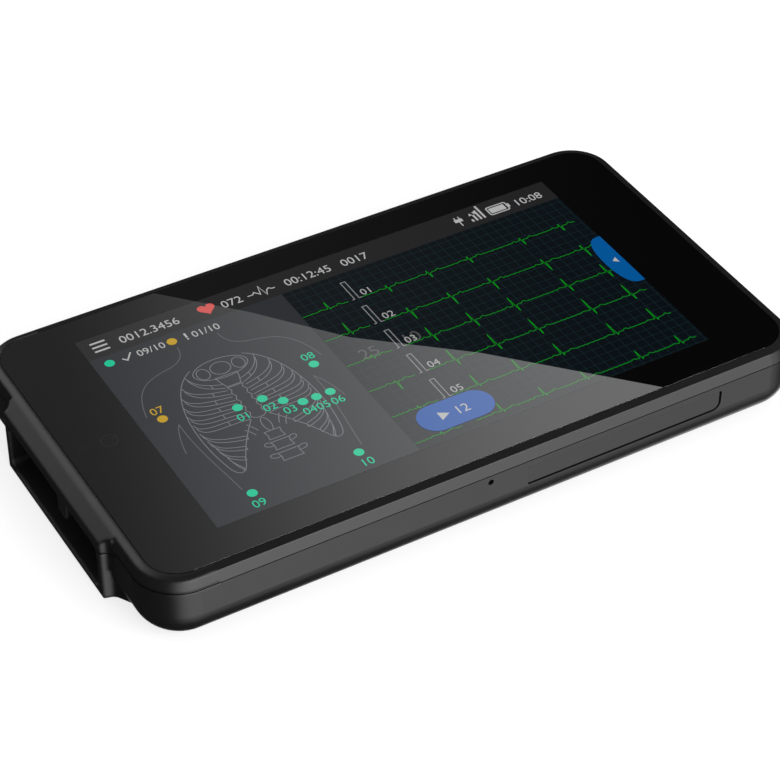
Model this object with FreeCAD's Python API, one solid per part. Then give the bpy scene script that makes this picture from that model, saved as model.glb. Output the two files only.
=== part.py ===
import FreeCAD, Part
import math
import os

# Handheld ECG home monitor: a flat two-piece casing under a large cover glass, with a hooded
# lead socket at the -X end, a port cover on the -Y side and a power button on the +Y side.
# Millimetres. Origin: centre of the casing on its flat back. +Z points out of the screen.

Vector = FreeCAD.Vector

# ---- casing --------------------------------------------------------------------------------------
body_length = 146.7
body_width = 82.3
body_thickness = 16.5
corner_radius = 9.5
back_edge_radius = 7.5
wall = 1.6
floor_thickness = 1.6
seam = 0.08
smallest_radius = 0.5

# ---- cutters and roots ---------------------------------------------------------------------------
overrun = 1.0
root = 0.3
pill_slack = 0.01
near = 1e-4

# ---- front housing rim, measured inwards from the casing's side and down from the glass ----------
rim_width = 2.78
skirt_height = 2.8
skirt_inset = 0.95
rim_drop = 0.55
lip_drop = 0.05
rim_edge_radius = 0.25
glass_gap = 0.12
ledge_thickness = 1.4
tongue_depth = 0.9
tongue_thickness = 1.1
tongue_gap = 0.1

# ---- cover glass and display stack ---------------------------------------------------------------
glass_thickness = 1.1
tape_thickness = 0.15
tape_margin = 0.4
screen_border_x = 15.2
screen_border_y = 7.23
cell_margin_x = 3.2
cell_margin_y = 1.9
display_gap = 0.15
cell_thickness = 1.2
backlight_thickness = 1.6
backlight_inset = 0.3
display_clearance = 0.35
frame_plate_thickness = 0.6
frame_plate_inset = 0.9
ear_length = 7.6
ear_width = 8.0
ear_clearance = 0.15

# ---- camera and light sensor behind the left border of the glass ---------------------------------
camera_from_glass_edge = 8.8
camera_offset_y = 1.5
camera_size = 5.4
camera_height = 2.15
camera_barrel_radius = 2.4
sensor_from_camera = 5.6
sensor_size = 2.0
sensor_height = 0.8
pocket_clearance = 0.15
window_ring = 0.5

# ---- lead socket hood and recess at the -X end ---------------------------------------------------
hood_reach = 1.85
hood_width = 43.3
hood_flank_run = 0.5
hood_blend_radius = 1.3
hood_foot_inset = 0.3
hood_foot_spread = 1.7
hood_foot_radius = 2.0
hood_corner_radius = 0.3
hood_floor_radius = 0.8
hood_roof_radius = 0.35
hood_brow_drop = 2.2
hood_parting_drop = 4.66
hood_ramp_start = 1.0
hood_ramp_run = 2.0
hood_side_wall = 1.5
recess_depth = 12.0
recess_ceiling_drop = 4.3
recess_corner_radius = 2.0
recess_back_wall = 1.2
key_width = 3.4
key_centre_y = -4.0
key_drop = 4.6
key_depth = 4.0
key_step_width = 4.2
key_step_drop = 0.8

# ---- lead connector ------------------------------------------------------------------------------
socket_width = 25.0
socket_height = 6.8
socket_taper = 1.2
socket_corner_radius = 1.0
socket_wall = 0.5
socket_proud = 1.0
socket_clearance = 0.15
flange_width = 38.0
flange_height = 7.0
flange_thickness = 0.8
flange_screw_spacing = 33.3
flange_screw_radius = 1.0
flange_screw_length = 2.0
flange_screw_head_radius = 1.7
flange_screw_head = 0.9
insulator_depth = 6.0
contact_radius = 0.3
contact_pitch = 2.77
contacts_upper = 8
contacts_lower = 7
contact_tail = 4.0
contact_bore_depth = 0.8

# ---- main board ----------------------------------------------------------------------------------
board_depth = 7.9
board_thickness = 1.0
board_edge_gap = 0.35
board_notch_gap = 0.5
board_end_gap = 4.0
shield_height = 2.2
shield_length = 34.0
shield_width = 30.0
shield_from_contacts = 5.7
shield_from_display_connector = 10.8
shield_corner_radius = 1.0
module_length = 24.0
module_width = 18.0
module_height = 2.0
module_y = 26.0
module_corner_radius = 0.5

# ---- battery -------------------------------------------------------------------------------------
battery_length = 84.0
battery_width = 54.0
battery_x = -6.0
battery_pad = 0.15
battery_top_gap = 0.7
battery_corner_radius = 2.5
rib_height = 2.2
rib_thickness = 1.0
rib_gap = 0.3
rib_length = 30.0
battery_connector_length = 5.0
battery_connector_width = 8.0
battery_connector_height = 1.5
battery_lead_length = 2.0
battery_lead_width = 6.0
battery_lead_thickness = 0.4

# ---- casing screws -------------------------------------------------------------------------------
screw_inset_x = 10.8
screw_inset_y = 10.6
screw_radius = 1.0
screw_length = 9.0
screw_head_radius = 1.9
screw_head_height = 1.3
screw_recess_radius = 0.85
screw_seat = 2.3
screw_clearance = 0.15
screw_thread_gap = 0.02
boss_radius = 3.2
post_radius = 2.5
pilot_extra = 0.5
board_hole_clearance = 0.3

# ---- port cover on the -Y side -------------------------------------------------------------------
cover_from_end = 22.15
cover_length = 44.7
cover_height = 4.0
cover_thickness = 1.3
cover_gap = 0.08
cover_back_gap = 0.1
finger_groove = 0.55
cover_corner_radius = 1.5
cover_small_radius = 0.3
port_wall_thickness = 1.4
port_wall_margin = 2.4
port_clearance = 0.18
strap_width = 1.1
strap_height = 2.4
strap_inset = 0.5
strap_gap = 0.06
strap_head_margin = 0.3
strap_head_depth = 0.7

# ---- sockets behind the port cover ---------------------------------------------------------------
usb_from_cover_end = 7.0
usb_width = 8.94
usb_height = 3.16
usb_depth = 7.3
usb_wall = 0.3
usb_tongue_width = 6.7
usb_tongue_thickness = 0.7
usb_set_back = 0.15
card_slot_height = 0.9
card_socket_wall = 0.25
card_set_back = 1.9
sim_from_cover_end = 21.6
sim_socket_width = 14.0
sim_socket_depth = 15.0
sim_slot_width = 12.4
memory_from_cover_end = 36.6
memory_socket_width = 12.6
memory_socket_depth = 14.0
memory_slot_width = 11.2

# ---- power button on the +Y side -----------------------------------------------------------------
power_from_end = 27.35
power_length = 14.0
power_height = 3.0
power_proud = 0.6
power_clearance = 0.12
power_travel = 0.4
power_flange_margin = 0.7
power_flange_thickness = 0.8
power_flange_gap = 0.1
switch_length = 6.0
switch_depth = 3.5
switch_height = 3.2
switch_plunger_length = 2.6
switch_plunger_height = 1.2
switch_plunger_depth = 1.5
plunger_gap = 0.05
plunger_clearance = 0.05

# ---- reset switch behind the pinhole on the -Y side ----------------------------------------------
reset_from_cover = 8.6
reset_drop = 4.4
reset_hole_radius = 0.63
reset_travel = 0.25
reset_switch_length = 6.0
reset_switch_depth = 3.4
reset_switch_top_margin = 1.0
reset_plunger_radius = 0.68
reset_plunger_length = 2.2
reset_wall_gap = 0.3
reset_board_inset = 0.4

# ---- speaker, antenna and display flex -----------------------------------------------------------
speaker_length = 20.0
speaker_width = 15.0
speaker_height = 4.0
speaker_from_end = 18.5
speaker_y = 14.0
speaker_corner_radius = 2.0
grille_slots = 5
grille_pitch = 2.4
grille_slot_length = 10.0
grille_slot_width = 1.0
antenna_length = 44.0
antenna_height = 4.4
antenna_thickness = 0.25
flex_width = 18.0
flex_thickness = 0.15
flex_connector_length = 3.4
flex_connector_width = 19.0
flex_connector_height = 1.2

# ---- levels and places worked out from the sizes above -------------------------------------------
half_length = body_length / 2
half_width = body_width / 2
parting_z = body_thickness - skirt_height
hood_parting_z = body_thickness - hood_parting_drop
ceiling_z = body_thickness - recess_ceiling_drop
glass_bottom = body_thickness - glass_thickness
ledge_top = glass_bottom - tape_thickness
ledge_bottom = ledge_top - ledge_thickness
cell_top = glass_bottom - display_gap
backlight_top = cell_top - cell_thickness
backlight_bottom = backlight_top - backlight_thickness
frame_plate_bottom = backlight_bottom - frame_plate_thickness
board_top = body_thickness - board_depth
board_bottom = board_top - board_thickness
port_mid_z = board_top + usb_height / 2

glass_half_x = half_length - rim_width
glass_half_y = half_width - rim_width
cell_half_x = glass_half_x - screen_border_x + cell_margin_x
cell_half_y = glass_half_y - screen_border_y + cell_margin_y
opening_half_x = cell_half_x + display_clearance
opening_half_y = cell_half_y + display_clearance

inner_half_x = half_length - wall
inner_half_y = half_width - wall
back_radius = min(back_edge_radius, corner_radius - smallest_radius)
inner_back_radius = max(back_radius - wall, smallest_radius)
screw_x = half_length - screw_inset_x
screw_y = half_width - screw_inset_y
screw_places = [Vector(sx * screw_x, sy * screw_y, 0) for sx in (-1, 1) for sy in (-1, 1)]

hood_front_x = -half_length - hood_reach
hood_half_width = hood_width / 2
recess_half_width = hood_half_width - hood_side_wall
recess_back_x = hood_front_x + recess_depth
socket_seat_x = recess_back_x + recess_back_wall
socket_mid_z = board_top - board_thickness / 2
socket_mouth_x = recess_back_x - socket_proud
insulator_back_x = socket_seat_x + flange_thickness + insulator_depth
board_notch_x = insulator_back_x + board_notch_gap

camera_x = -glass_half_x + camera_from_glass_edge
sensor_x = camera_x - sensor_from_camera
camera_bottom = ledge_top + tape_thickness / 2 - camera_height

cover_right_x = half_length - cover_from_end
cover_left_x = cover_right_x - cover_length
cover_low_z = port_mid_z - cover_height / 2
cover_high_z = port_mid_z + cover_height / 2
pocket_floor_y = -half_width + cover_thickness + cover_back_gap
port_wall_y = pocket_floor_y + port_wall_thickness
board_half_y = -port_wall_y - board_edge_gap
board_right_x = inner_half_x - board_end_gap
reset_x = cover_left_x - reset_from_cover
reset_z = body_thickness - reset_drop
usb_x = cover_left_x + usb_from_cover_end
sim_x = cover_left_x + sim_from_cover_end
memory_x = cover_left_x + memory_from_cover_end
card_slot_z = board_top + card_socket_wall
flex_connector_x = cell_half_x - 2 * flex_connector_length
amplifier_shield_x = board_notch_x + contact_tail + shield_from_contacts
processor_shield_x = flex_connector_x - shield_from_display_connector - shield_length

power_x = half_length - power_from_end
battery_low_x = battery_x - battery_length / 2
battery_high_x = battery_x + battery_length / 2
battery_bottom = floor_thickness + battery_pad
battery_top = board_bottom - battery_top_gap
speaker_x = half_length - speaker_from_end


# ---- shape helpers -------------------------------------------------------------------------------
def in_space(axis, u, v, level):
    """A point of a flat drawing, placed in the plane that stands across the axis."""
    if axis == "x":
        return Vector(level, u, v)
    if axis == "y":
        return Vector(u, level, v)
    return Vector(u, v, level)


def along(axis, length):
    """A vector of the given length along the axis."""
    return {"x": Vector(length, 0, 0), "y": Vector(0, length, 0), "z": Vector(0, 0, length)}[axis]


def outline(axis, points, radii, level):
    """A closed wire through the points, each corner rounded by its own tangent arc."""
    count = len(points)
    corners = []
    for i in range(count):
        here = Vector(points[i][0], points[i][1], 0)
        before = (Vector(points[i - 1][0], points[i - 1][1], 0) - here).normalize()
        after = (Vector(points[(i + 1) % count][0], points[(i + 1) % count][1], 0) - here).normalize()
        if radii[i] <= 0:
            corners.append([here])
            continue
        half_angle = before.getAngle(after) / 2
        reach = radii[i] / math.tan(half_angle)
        middle = (before + after).normalize()
        depth = radii[i] / math.sin(half_angle) - radii[i]
        corners.append([here + before * reach, here + middle * depth, here + after * reach])
    edges = []
    for i in range(count):
        placed = [in_space(axis, p.x, p.y, level) for p in corners[i]]
        if len(placed) == 3:
            edges.append(Part.Arc(*placed).toShape())
        start = corners[i][-1]
        end = corners[(i + 1) % count][0]
        if (end - start).Length > 1e-6:
            ends = [in_space(axis, p.x, p.y, level) for p in (start, end)]
            edges.append(Part.LineSegment(*ends).toShape())
    return Part.Wire(edges)


def prism(axis, points, radii, low, high):
    """A flat outline carried straight along the axis from low to high."""
    face = Part.Face(outline(axis, points, radii, low))
    return face.extrude(along(axis, high - low))


def rectangle(u_low, u_high, v_low, v_high):
    return [(u_low, v_low), (u_high, v_low), (u_high, v_high), (u_low, v_high)]


def rounded_block(axis, u_range, v_range, radius, low, high):
    return prism(axis, rectangle(*u_range, *v_range), [radius] * 4, low, high)


def pill(axis, u_range, v_range, low, high):
    """A block whose outline is rounded as far as its shorter side allows."""
    shorter = min(u_range[1] - u_range[0], v_range[1] - v_range[0])
    return rounded_block(axis, u_range, v_range, shorter / 2 - pill_slack, low, high)


def block(x_range, y_range, z_range):
    size = [high - low for low, high in (x_range, y_range, z_range)]
    return Part.makeBox(*size, Vector(x_range[0], y_range[0], z_range[0]))


def rod(radius, start, axis, length):
    return Part.makeCylinder(radius, abs(length), start, along(axis, length))


def casing_outline(inset, z):
    """The casing's plan outline, moved inwards by inset, at height z."""
    x = half_length - inset
    y = half_width - inset
    return outline("z", rectangle(-x, x, -y, y), [corner_radius - inset] * 4, z)


def casing_slab(inset, low, high):
    return Part.Face(casing_outline(inset, low)).extrude(Vector(0, 0, high - low))


def level_edges(shape, z):
    """The edges that lie flat at height z."""
    boxes = [(edge, edge.BoundBox) for edge in shape.Edges]
    return [edge for edge, box in boxes if abs(box.ZMin - z) < near and abs(box.ZMax - z) < near]


def tub(inset, low, high, radius):
    """A casing-shaped block whose bottom edge is rounded all round."""
    slab = casing_slab(inset, low, high)
    return slab.makeFillet(radius, level_edges(slab, low))


# ---- hood over the lead socket -------------------------------------------------------------------
def hood_foot(high):
    """The hood's lower part in plan: its flanks spread out under the casing's rounded end."""
    flank_slope = hood_flank_run / hood_reach
    turn_x = -half_length + hood_foot_inset
    turn_y = hood_half_width + hood_flank_run + flank_slope * hood_foot_inset
    root_x = -half_length + back_radius
    root_y = turn_y + hood_foot_spread * (root_x - turn_x)
    near_side = [(root_x, -root_y), (turn_x, -turn_y), (hood_front_x, -hood_half_width)]
    points = near_side + [(x, -y) for x, y in reversed(near_side)]
    radii = [0, hood_foot_radius, hood_corner_radius]
    return prism("z", points, radii + radii[::-1], 0, high)


def hood_plan(low, high):
    """The hood in plan: a straight brow whose flanks run back into the casing's end."""
    flank_y = hood_half_width + hood_flank_run
    flank_slope = hood_flank_run / hood_reach
    root_x = -half_length + back_radius
    root_y = flank_y + flank_slope * (root_x + half_length)
    near = [(root_x, -root_y), (-half_length, -flank_y), (hood_front_x, -hood_half_width)]
    points = near + [(x, -y) for x, y in reversed(near)]
    radii = [0, 0, hood_corner_radius, hood_corner_radius, 0, 0]
    return prism("z", points, radii, low, high)


def hood_blends(low, high):
    """Concave blends that run each flank out along the casing's end."""
    flank_y = hood_half_width + hood_flank_run
    inside_x = -half_length + wall
    shapes = []
    for side in (-1, 1):
        start = Vector(hood_front_x, side * hood_half_width, 0)
        corner = Vector(-half_length, side * flank_y, 0)
        to_start = (start - corner).normalize()
        to_end = Vector(0, side, 0)
        half_angle = to_start.getAngle(to_end) / 2
        reach = hood_blend_radius / math.tan(half_angle)
        middle = (to_start + to_end).normalize()
        bulge = middle * (hood_blend_radius / math.sin(half_angle) - hood_blend_radius)
        a = corner + to_start * reach
        b = corner + bulge
        c = corner + to_end * reach
        d = Vector(inside_x, c.y, 0)
        e = Vector(inside_x, side * (hood_half_width - overrun), 0)
        f = Vector(a.x, side * (hood_half_width - overrun), 0)
        edges = [Part.Arc(a, b, c).toShape()]
        for p, q in ((c, d), (d, e), (e, f), (f, a)):
            edges.append(Part.LineSegment(p, q).toShape())
        face = Part.Face(Part.Wire(edges))
        face.translate(Vector(0, 0, low))
        shapes.append(face.extrude(Vector(0, 0, high - low)))
    return shapes


def hood_roof_profile(low):
    """Everything under the hood's sloping roof, seen from the side."""
    band_x = -half_length + skirt_inset
    brow_z = body_thickness - hood_brow_drop
    points = [
        (hood_front_x - overrun, low),
        (hood_front_x - overrun, brow_z - roof_slope() * overrun),
        (band_x, body_thickness - rim_drop),
        (-half_length + back_radius, body_thickness - rim_drop),
        (-half_length + back_radius, low),
    ]
    reach = hood_half_width + hood_flank_run + back_radius + 2 * hood_blend_radius
    return prism("y", points, [0] * 5, -reach, reach)


def roof_slope():
    """Rise of the hood's roof for each millimetre inwards from its brow."""
    run = hood_reach + skirt_inset
    return (hood_brow_drop - rim_drop) / run


def on_roof(point):
    band_x = -half_length + skirt_inset
    roof_z = body_thickness - rim_drop - roof_slope() * (band_x - point.x)
    return point.x < band_x + near and abs(point.z - roof_z) < near


def roof_edges(shape):
    """The edges round the hood's roof, without the line where it meets the rim's band."""
    band_x = -half_length + skirt_inset
    edges = []
    for edge in shape.Edges:
        middle = (edge.FirstParameter + edge.LastParameter) / 2
        points = [edge.valueAt(at) for at in (edge.FirstParameter, middle, edge.LastParameter)]
        if all(on_roof(point) for point in points) and edge.BoundBox.XMin < band_x - near:
            edges.append(edge)
    return edges


def hood_upper():
    """The hood's part of the front housing, rounded off along its brow and flanks."""
    low = hood_parting_z + seam / 2
    shape = hood_plan(low, body_thickness).fuse(hood_blends(low, body_thickness))
    shape = shape.common(hood_roof_profile(low)).removeSplitter()
    return shape.makeFillet(hood_roof_radius, roof_edges(shape))


def hood_lower(high):
    """The hood's part of the rear housing, rounded off along its floor."""
    shape = hood_foot(high)
    root_x = -half_length + back_radius
    edges = [edge for edge in level_edges(shape, 0) if edge.BoundBox.XMin < root_x - near]
    return shape.makeFillet(hood_floor_radius, edges)


def parting_ramp(low, x_low, x_high):
    """The dip of the parting line at the hood, as a trapezium seen from the front."""
    start = hood_half_width + hood_flank_run + hood_ramp_start
    end = start + hood_ramp_run
    top = body_thickness
    points = [(-end, top), (-end, parting_z + low - hood_parting_z), (-start, low)]
    points += [(start, low), (end, parting_z + low - hood_parting_z), (end, top)]
    return prism("x", points, [0] * 6, x_low, x_high)


def recess_void():
    """The space that the lead plug enters."""
    sides = (-recess_half_width, recess_half_width)
    heights = (floor_thickness, ceiling_z)
    return rounded_block("x", sides, heights, recess_corner_radius, hood_front_x - overrun, recess_back_x)


def socket_outline(margin):
    """The connector's D shape: a rectangle that is narrower along its lower side."""
    top = socket_width / 2 + margin
    bottom = top - socket_taper
    low = socket_mid_z - socket_height / 2 - margin
    high = socket_mid_z + socket_height / 2 + margin
    return [(-bottom, low), (bottom, low), (top, high), (-top, high)]


# ---- front housing -------------------------------------------------------------------------------
def rim_solid():
    """The outer form of the front housing: a steep skirt, then a shallow band up to the glass."""
    low = parting_z + seam / 2
    band = body_thickness - rim_drop
    lip = body_thickness - lip_drop
    crease = casing_outline(skirt_inset, band)
    skirt = Part.makeLoft([casing_outline(0, low), crease], True, True)
    top = Part.makeLoft([crease, casing_outline(rim_width - glass_gap, lip)], True, True)
    solid = skirt.fuse(top).removeSplitter()
    return solid.makeFillet(rim_edge_radius, level_edges(solid, band))


def front_housing():
    low = hood_parting_z + seam / 2
    hood = hood_upper().common(parting_ramp(low, hood_front_x - overrun, 0))
    end_wall = casing_slab(0, low, parting_z + seam)
    end_wall = end_wall.common(parting_ramp(low, hood_front_x - overrun, -inner_half_x))
    shape = rim_solid().fuse([hood, end_wall])
    shape = shape.cut(casing_slab(wall, parting_z - overrun, ledge_bottom))
    shape = shape.fuse([recess_roof(low), tongue()] + posts())
    shape = shape.cut(display_opening())
    shape = shape.cut(recess_void())
    shape = shape.fuse(key())
    shape = shape.cut(glass_seat())
    shape = shape.cut(sensor_pockets())
    return shape.removeSplitter()


def recess_roof(low):
    """The block over the recess, inside the casing's end wall."""
    x_range = (-half_length + wall / 2, socket_seat_x)
    return block(x_range, (-hood_half_width, hood_half_width), (low, ledge_bottom))


def tongue():
    """The lip that drops inside the rear housing's wall, left off at the hood."""
    outer = wall + tongue_gap
    ring = casing_slab(outer, parting_z - tongue_depth, ledge_bottom)
    ring = ring.cut(casing_slab(outer + tongue_thickness, parting_z - tongue_depth, ledge_bottom))
    reach = hood_half_width + hood_flank_run + hood_ramp_start + hood_ramp_run
    hood_side = block((-half_length, socket_seat_x), (-reach, reach), (0, ledge_bottom))
    return ring.cut(hood_side)


def posts():
    """Screw posts that reach down to the board."""
    shapes = []
    for place in screw_places:
        start = Vector(place.x, place.y, board_top)
        post = rod(post_radius, start, "z", ledge_bottom - board_top)
        pilot_length = screw_seat + screw_length + pilot_extra - board_top
        shapes.append(post.cut(rod(screw_radius + screw_thread_gap, start, "z", pilot_length)))
    return shapes


def display_opening():
    sides = (-opening_half_x, opening_half_x)
    ends = (-opening_half_y, opening_half_y)
    low = parting_z - tongue_depth - overrun
    return rounded_block("z", sides, ends, cell_margin_y / 2, low, body_thickness)


def glass_seat():
    inset = rim_width - glass_gap
    return casing_slab(inset, ledge_top, body_thickness + overrun)


def key():
    """The key under the recess's ceiling, with its shallow step."""
    x_range = (hood_front_x + hood_corner_radius, hood_front_x + key_depth)
    key_high = key_centre_y + key_width / 2
    tab = block(x_range, (key_high - key_width, key_high), (ceiling_z - key_drop, ceiling_z + root))
    step_y = (key_high, key_high + key_step_width)
    return [tab, block(x_range, step_y, (ceiling_z - key_step_drop, ceiling_z + root))]


def sensor_pockets():
    """Pockets in the ledge for the camera and the light sensor."""
    shapes = []
    places = ((camera_x, camera_size, camera_bottom), (sensor_x, sensor_size, ledge_top - sensor_height))
    for x, size, low in places:
        half = size / 2 + pocket_clearance
        y_range = (camera_offset_y - half, camera_offset_y + half)
        shapes.append(block((x - half, x + half), y_range, (low, body_thickness)))
    return shapes


# ---- rear housing --------------------------------------------------------------------------------
def rear_housing():
    top = parting_z - seam / 2
    hood_top = hood_parting_z - seam / 2
    outside = tub(0, 0, top, back_radius).fuse([hood_lower(hood_top)] + hood_blends(back_radius, top))
    shape = outside.cut(tub(wall, floor_thickness, body_thickness, inner_back_radius))
    shape = shape.fuse([recess_walls(hood_top), port_wall()] + bosses() + battery_ribs())
    shape = shape.cut(parting_ramp(hood_top, hood_front_x - overrun, -inner_half_x + tongue_gap))
    shape = shape.cut(recess_void())
    shape = shape.cut(socket_window())
    for cutter in screw_holes() + port_openings() + grille() + [power_opening(), reset_hole()]:
        shape = shape.cut(cutter)
    return shape.removeSplitter()


def recess_walls(high):
    """The block round the recess, inside the casing's end wall."""
    x_range = (-half_length + wall / 2, socket_seat_x)
    return block(x_range, (-hood_half_width, hood_half_width), (floor_thickness / 2, high))


def socket_window():
    x_range = (recess_back_x - overrun, socket_seat_x + overrun)
    return prism("x", socket_outline(socket_clearance), [socket_corner_radius] * 4, *x_range)


def bosses():
    shapes = []
    for place in screw_places:
        start = Vector(place.x, place.y, floor_thickness / 2)
        shapes.append(rod(boss_radius, start, "z", board_bottom - floor_thickness / 2))
    return shapes


def screw_holes():
    shapes = []
    for place in screw_places:
        shapes.append(rod(screw_radius + screw_clearance, place, "z", board_bottom + overrun))
        shapes.append(rod(screw_head_radius + 2 * screw_clearance, place, "z", screw_seat))
    return shapes


def battery_ribs():
    """Low ribs that keep the battery in place."""
    low = floor_thickness / 2
    high = floor_thickness + rib_height
    half_y = battery_width / 2 + rib_gap
    shapes = []
    for side in (-1, 1):
        end_x = battery_high_x + rib_gap if side > 0 else battery_low_x - rib_gap - rib_thickness
        shapes.append(block((end_x, end_x + rib_thickness), (-rib_length / 2, rib_length / 2), (low, high)))
        side_y = half_y if side > 0 else -half_y - rib_thickness
        x_range = (battery_x - rib_length / 2, battery_x + rib_length / 2)
        shapes.append(block(x_range, (side_y, side_y + rib_thickness), (low, high)))
    return shapes


def port_wall():
    """The thicker wall behind the port cover."""
    x_range = (cover_left_x - port_wall_margin, cover_right_x + port_wall_margin)
    low = cover_low_z - finger_groove - wall
    high = parting_z - tongue_depth - tongue_gap
    return block(x_range, (-half_width + wall / 2, port_wall_y), (low, high))


def cover_pocket():
    """The cover's pocket, wider than the cover along its lower and free edges."""
    x_range = (cover_left_x - cover_gap, cover_right_x + finger_groove)
    z_range = (cover_low_z - finger_groove, cover_high_z + cover_gap)
    radii = [cover_small_radius, cover_corner_radius + finger_groove, cover_small_radius, cover_small_radius]
    return prism("y", rectangle(*x_range, *z_range), radii, -half_width - overrun, pocket_floor_y)


def strap_slot(gap):
    x_low = cover_left_x + strap_inset
    x_range = (x_low - gap, x_low + strap_width + gap)
    z_range = (port_mid_z - strap_height / 2 - gap, port_mid_z + strap_height / 2 + gap)
    return x_range, z_range


def port_openings():
    y_range = (pocket_floor_y - overrun, port_wall_y + overrun)
    usb_half = usb_width / 2 + port_clearance
    usb_z = (board_top - port_clearance, board_top + usb_height + port_clearance)
    usb = pill("y", (usb_x - usb_half, usb_x + usb_half), usb_z, *y_range)
    shapes = [cover_pocket(), usb]
    for x, width in ((sim_x, sim_slot_width), (memory_x, memory_slot_width)):
        x_range = (x - width / 2, x + width / 2)
        shapes.append(block(x_range, y_range, (card_slot_z, card_slot_z + card_slot_height)))
    x_range, z_range = strap_slot(strap_gap)
    shapes.append(block(x_range, y_range, z_range))
    return shapes


def power_opening():
    half_x = power_length / 2 + power_clearance
    half_z = power_height / 2 + power_clearance
    x_range = (power_x - half_x, power_x + half_x)
    z_range = (port_mid_z - half_z, port_mid_z + half_z)
    return pill("y", x_range, z_range, inner_half_y - overrun, half_width + overrun)


def reset_hole():
    start = Vector(reset_x, -half_width - overrun, reset_z)
    return rod(reset_hole_radius, start, "y", wall + 2 * overrun)


def grille():
    """Sound slots in the back, under the speaker."""
    shapes = []
    for i in range(grille_slots):
        x = speaker_x + (i - (grille_slots - 1) / 2) * grille_pitch
        x_range = (x - grille_slot_width / 2, x + grille_slot_width / 2)
        y_range = (speaker_y - grille_slot_length / 2, speaker_y + grille_slot_length / 2)
        shapes.append(pill("z", x_range, y_range, -overrun, floor_thickness + overrun))
    return shapes


# ---- glass and display ---------------------------------------------------------------------------
def cover_glass():
    return casing_slab(rim_width, glass_bottom, body_thickness)


def glass_tape():
    """The adhesive frame that bonds the glass to the ledge, open over the display and the sensors."""
    frame = casing_slab(rim_width + tape_margin, ledge_top, glass_bottom)
    sides = (-opening_half_x - tape_margin, opening_half_x + tape_margin)
    ends = (-opening_half_y - tape_margin, opening_half_y + tape_margin)
    levels = (ledge_top - overrun, glass_bottom + overrun)
    inner = rounded_block("z", sides, ends, cell_margin_y / 2, *levels)
    reach = camera_size / 2 + window_ring
    height = levels[1] - levels[0]
    camera = rod(reach, Vector(camera_x, camera_offset_y, levels[0]), "z", height)
    bridge_y = (camera_offset_y - reach, camera_offset_y + reach)
    bridge = block((camera_x, -opening_half_x), bridge_y, levels)
    sensor_reach = sensor_size / 2 + window_ring
    sensor = rod(sensor_reach, Vector(sensor_x, camera_offset_y, levels[0]), "z", height)
    return frame.cut([inner, camera, bridge, sensor])


def display_cell():
    return block((-cell_half_x, cell_half_x), (-cell_half_y, cell_half_y), (backlight_top, cell_top))


def backlight_unit():
    x = cell_half_x - backlight_inset
    y = cell_half_y - backlight_inset
    return rounded_block("z", (-x, x), (-y, y), backlight_inset * 2, backlight_bottom, backlight_top)


def display_frame():
    """The sheet metal plate under the display, with an ear round each screw post."""
    x = cell_half_x - frame_plate_inset
    y = cell_half_y - frame_plate_inset
    levels = (frame_plate_bottom, backlight_bottom)
    shape = rounded_block("z", (-x, x), (-y, y), frame_plate_inset, *levels)
    for place in screw_places:
        side = math.copysign(1, place.x)
        ends = sorted((side * (x - overrun), place.x + side * ear_length / 2))
        ear = block(ends, (place.y - ear_width / 2, place.y + ear_width / 2), levels)
        hole = rod(post_radius + ear_clearance, Vector(place.x, place.y, 0), "z", body_thickness)
        shape = shape.fuse(ear).cut(hole)
    return shape.removeSplitter()


def display_flex():
    """The flat cable that folds down from the display's end to its connector on the board."""
    outer = cell_half_x + flex_thickness
    top = cell_top - cell_thickness / 2
    low = board_top + flex_connector_height
    points = [(cell_half_x, top), (outer, top), (outer, low), (flex_connector_x, low)]
    points += [(flex_connector_x, low + flex_thickness), (cell_half_x, low + flex_thickness)]
    radii = [0, 0, 3 * flex_thickness, 0, 0, 2 * flex_thickness]
    return prism("y", points, radii, -flex_width / 2, flex_width / 2)


def display_connector():
    x_range = (flex_connector_x, flex_connector_x + flex_connector_length)
    y_range = (-flex_connector_width / 2, flex_connector_width / 2)
    return block(x_range, y_range, (board_top, board_top + flex_connector_height))


def front_camera():
    """A small camera: a square base and a round barrel."""
    half = camera_size / 2
    middle = camera_bottom + camera_height / 2
    x_range = (camera_x - half, camera_x + half)
    y_range = (camera_offset_y - half, camera_offset_y + half)
    base = block(x_range, y_range, (camera_bottom, middle))
    barrel = rod(camera_barrel_radius, Vector(camera_x, camera_offset_y, middle), "z", camera_height / 2)
    return base.fuse(barrel)


def light_sensor():
    half = sensor_size / 2
    x_range = (sensor_x - half, sensor_x + half)
    y_range = (camera_offset_y - half, camera_offset_y + half)
    return block(x_range, y_range, (ledge_top - sensor_height, ledge_top))


# ---- lead connector ------------------------------------------------------------------------------
def connector_shell():
    """The socket's metal shell: a D-shaped collar on a flat flange."""
    flange_y = (-flange_width / 2, flange_width / 2)
    flange_z = (socket_mid_z - flange_height / 2, socket_mid_z + flange_height / 2)
    flange_x = (socket_seat_x, socket_seat_x + flange_thickness)
    flange = block(flange_x, flange_y, flange_z)
    collar = prism("x", socket_outline(0), [socket_corner_radius] * 4, socket_mouth_x, flange_x[1])
    inner_radius = socket_corner_radius - socket_wall / 2
    bore_x = (socket_mouth_x - overrun, flange_x[1] + overrun)
    bore = prism("x", socket_outline(-socket_wall), [inner_radius] * 4, *bore_x)
    shape = flange.fuse(collar).cut(bore)
    for hole in flange_holes(screw_clearance):
        shape = shape.cut(hole)
    return shape


def flange_holes(clearance):
    shapes = []
    for side in (-1, 1):
        start = Vector(socket_seat_x - overrun, side * flange_screw_spacing / 2, socket_mid_z)
        shapes.append(rod(flange_screw_radius + clearance, start, "x", flange_thickness + 2 * overrun))
    return shapes


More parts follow.
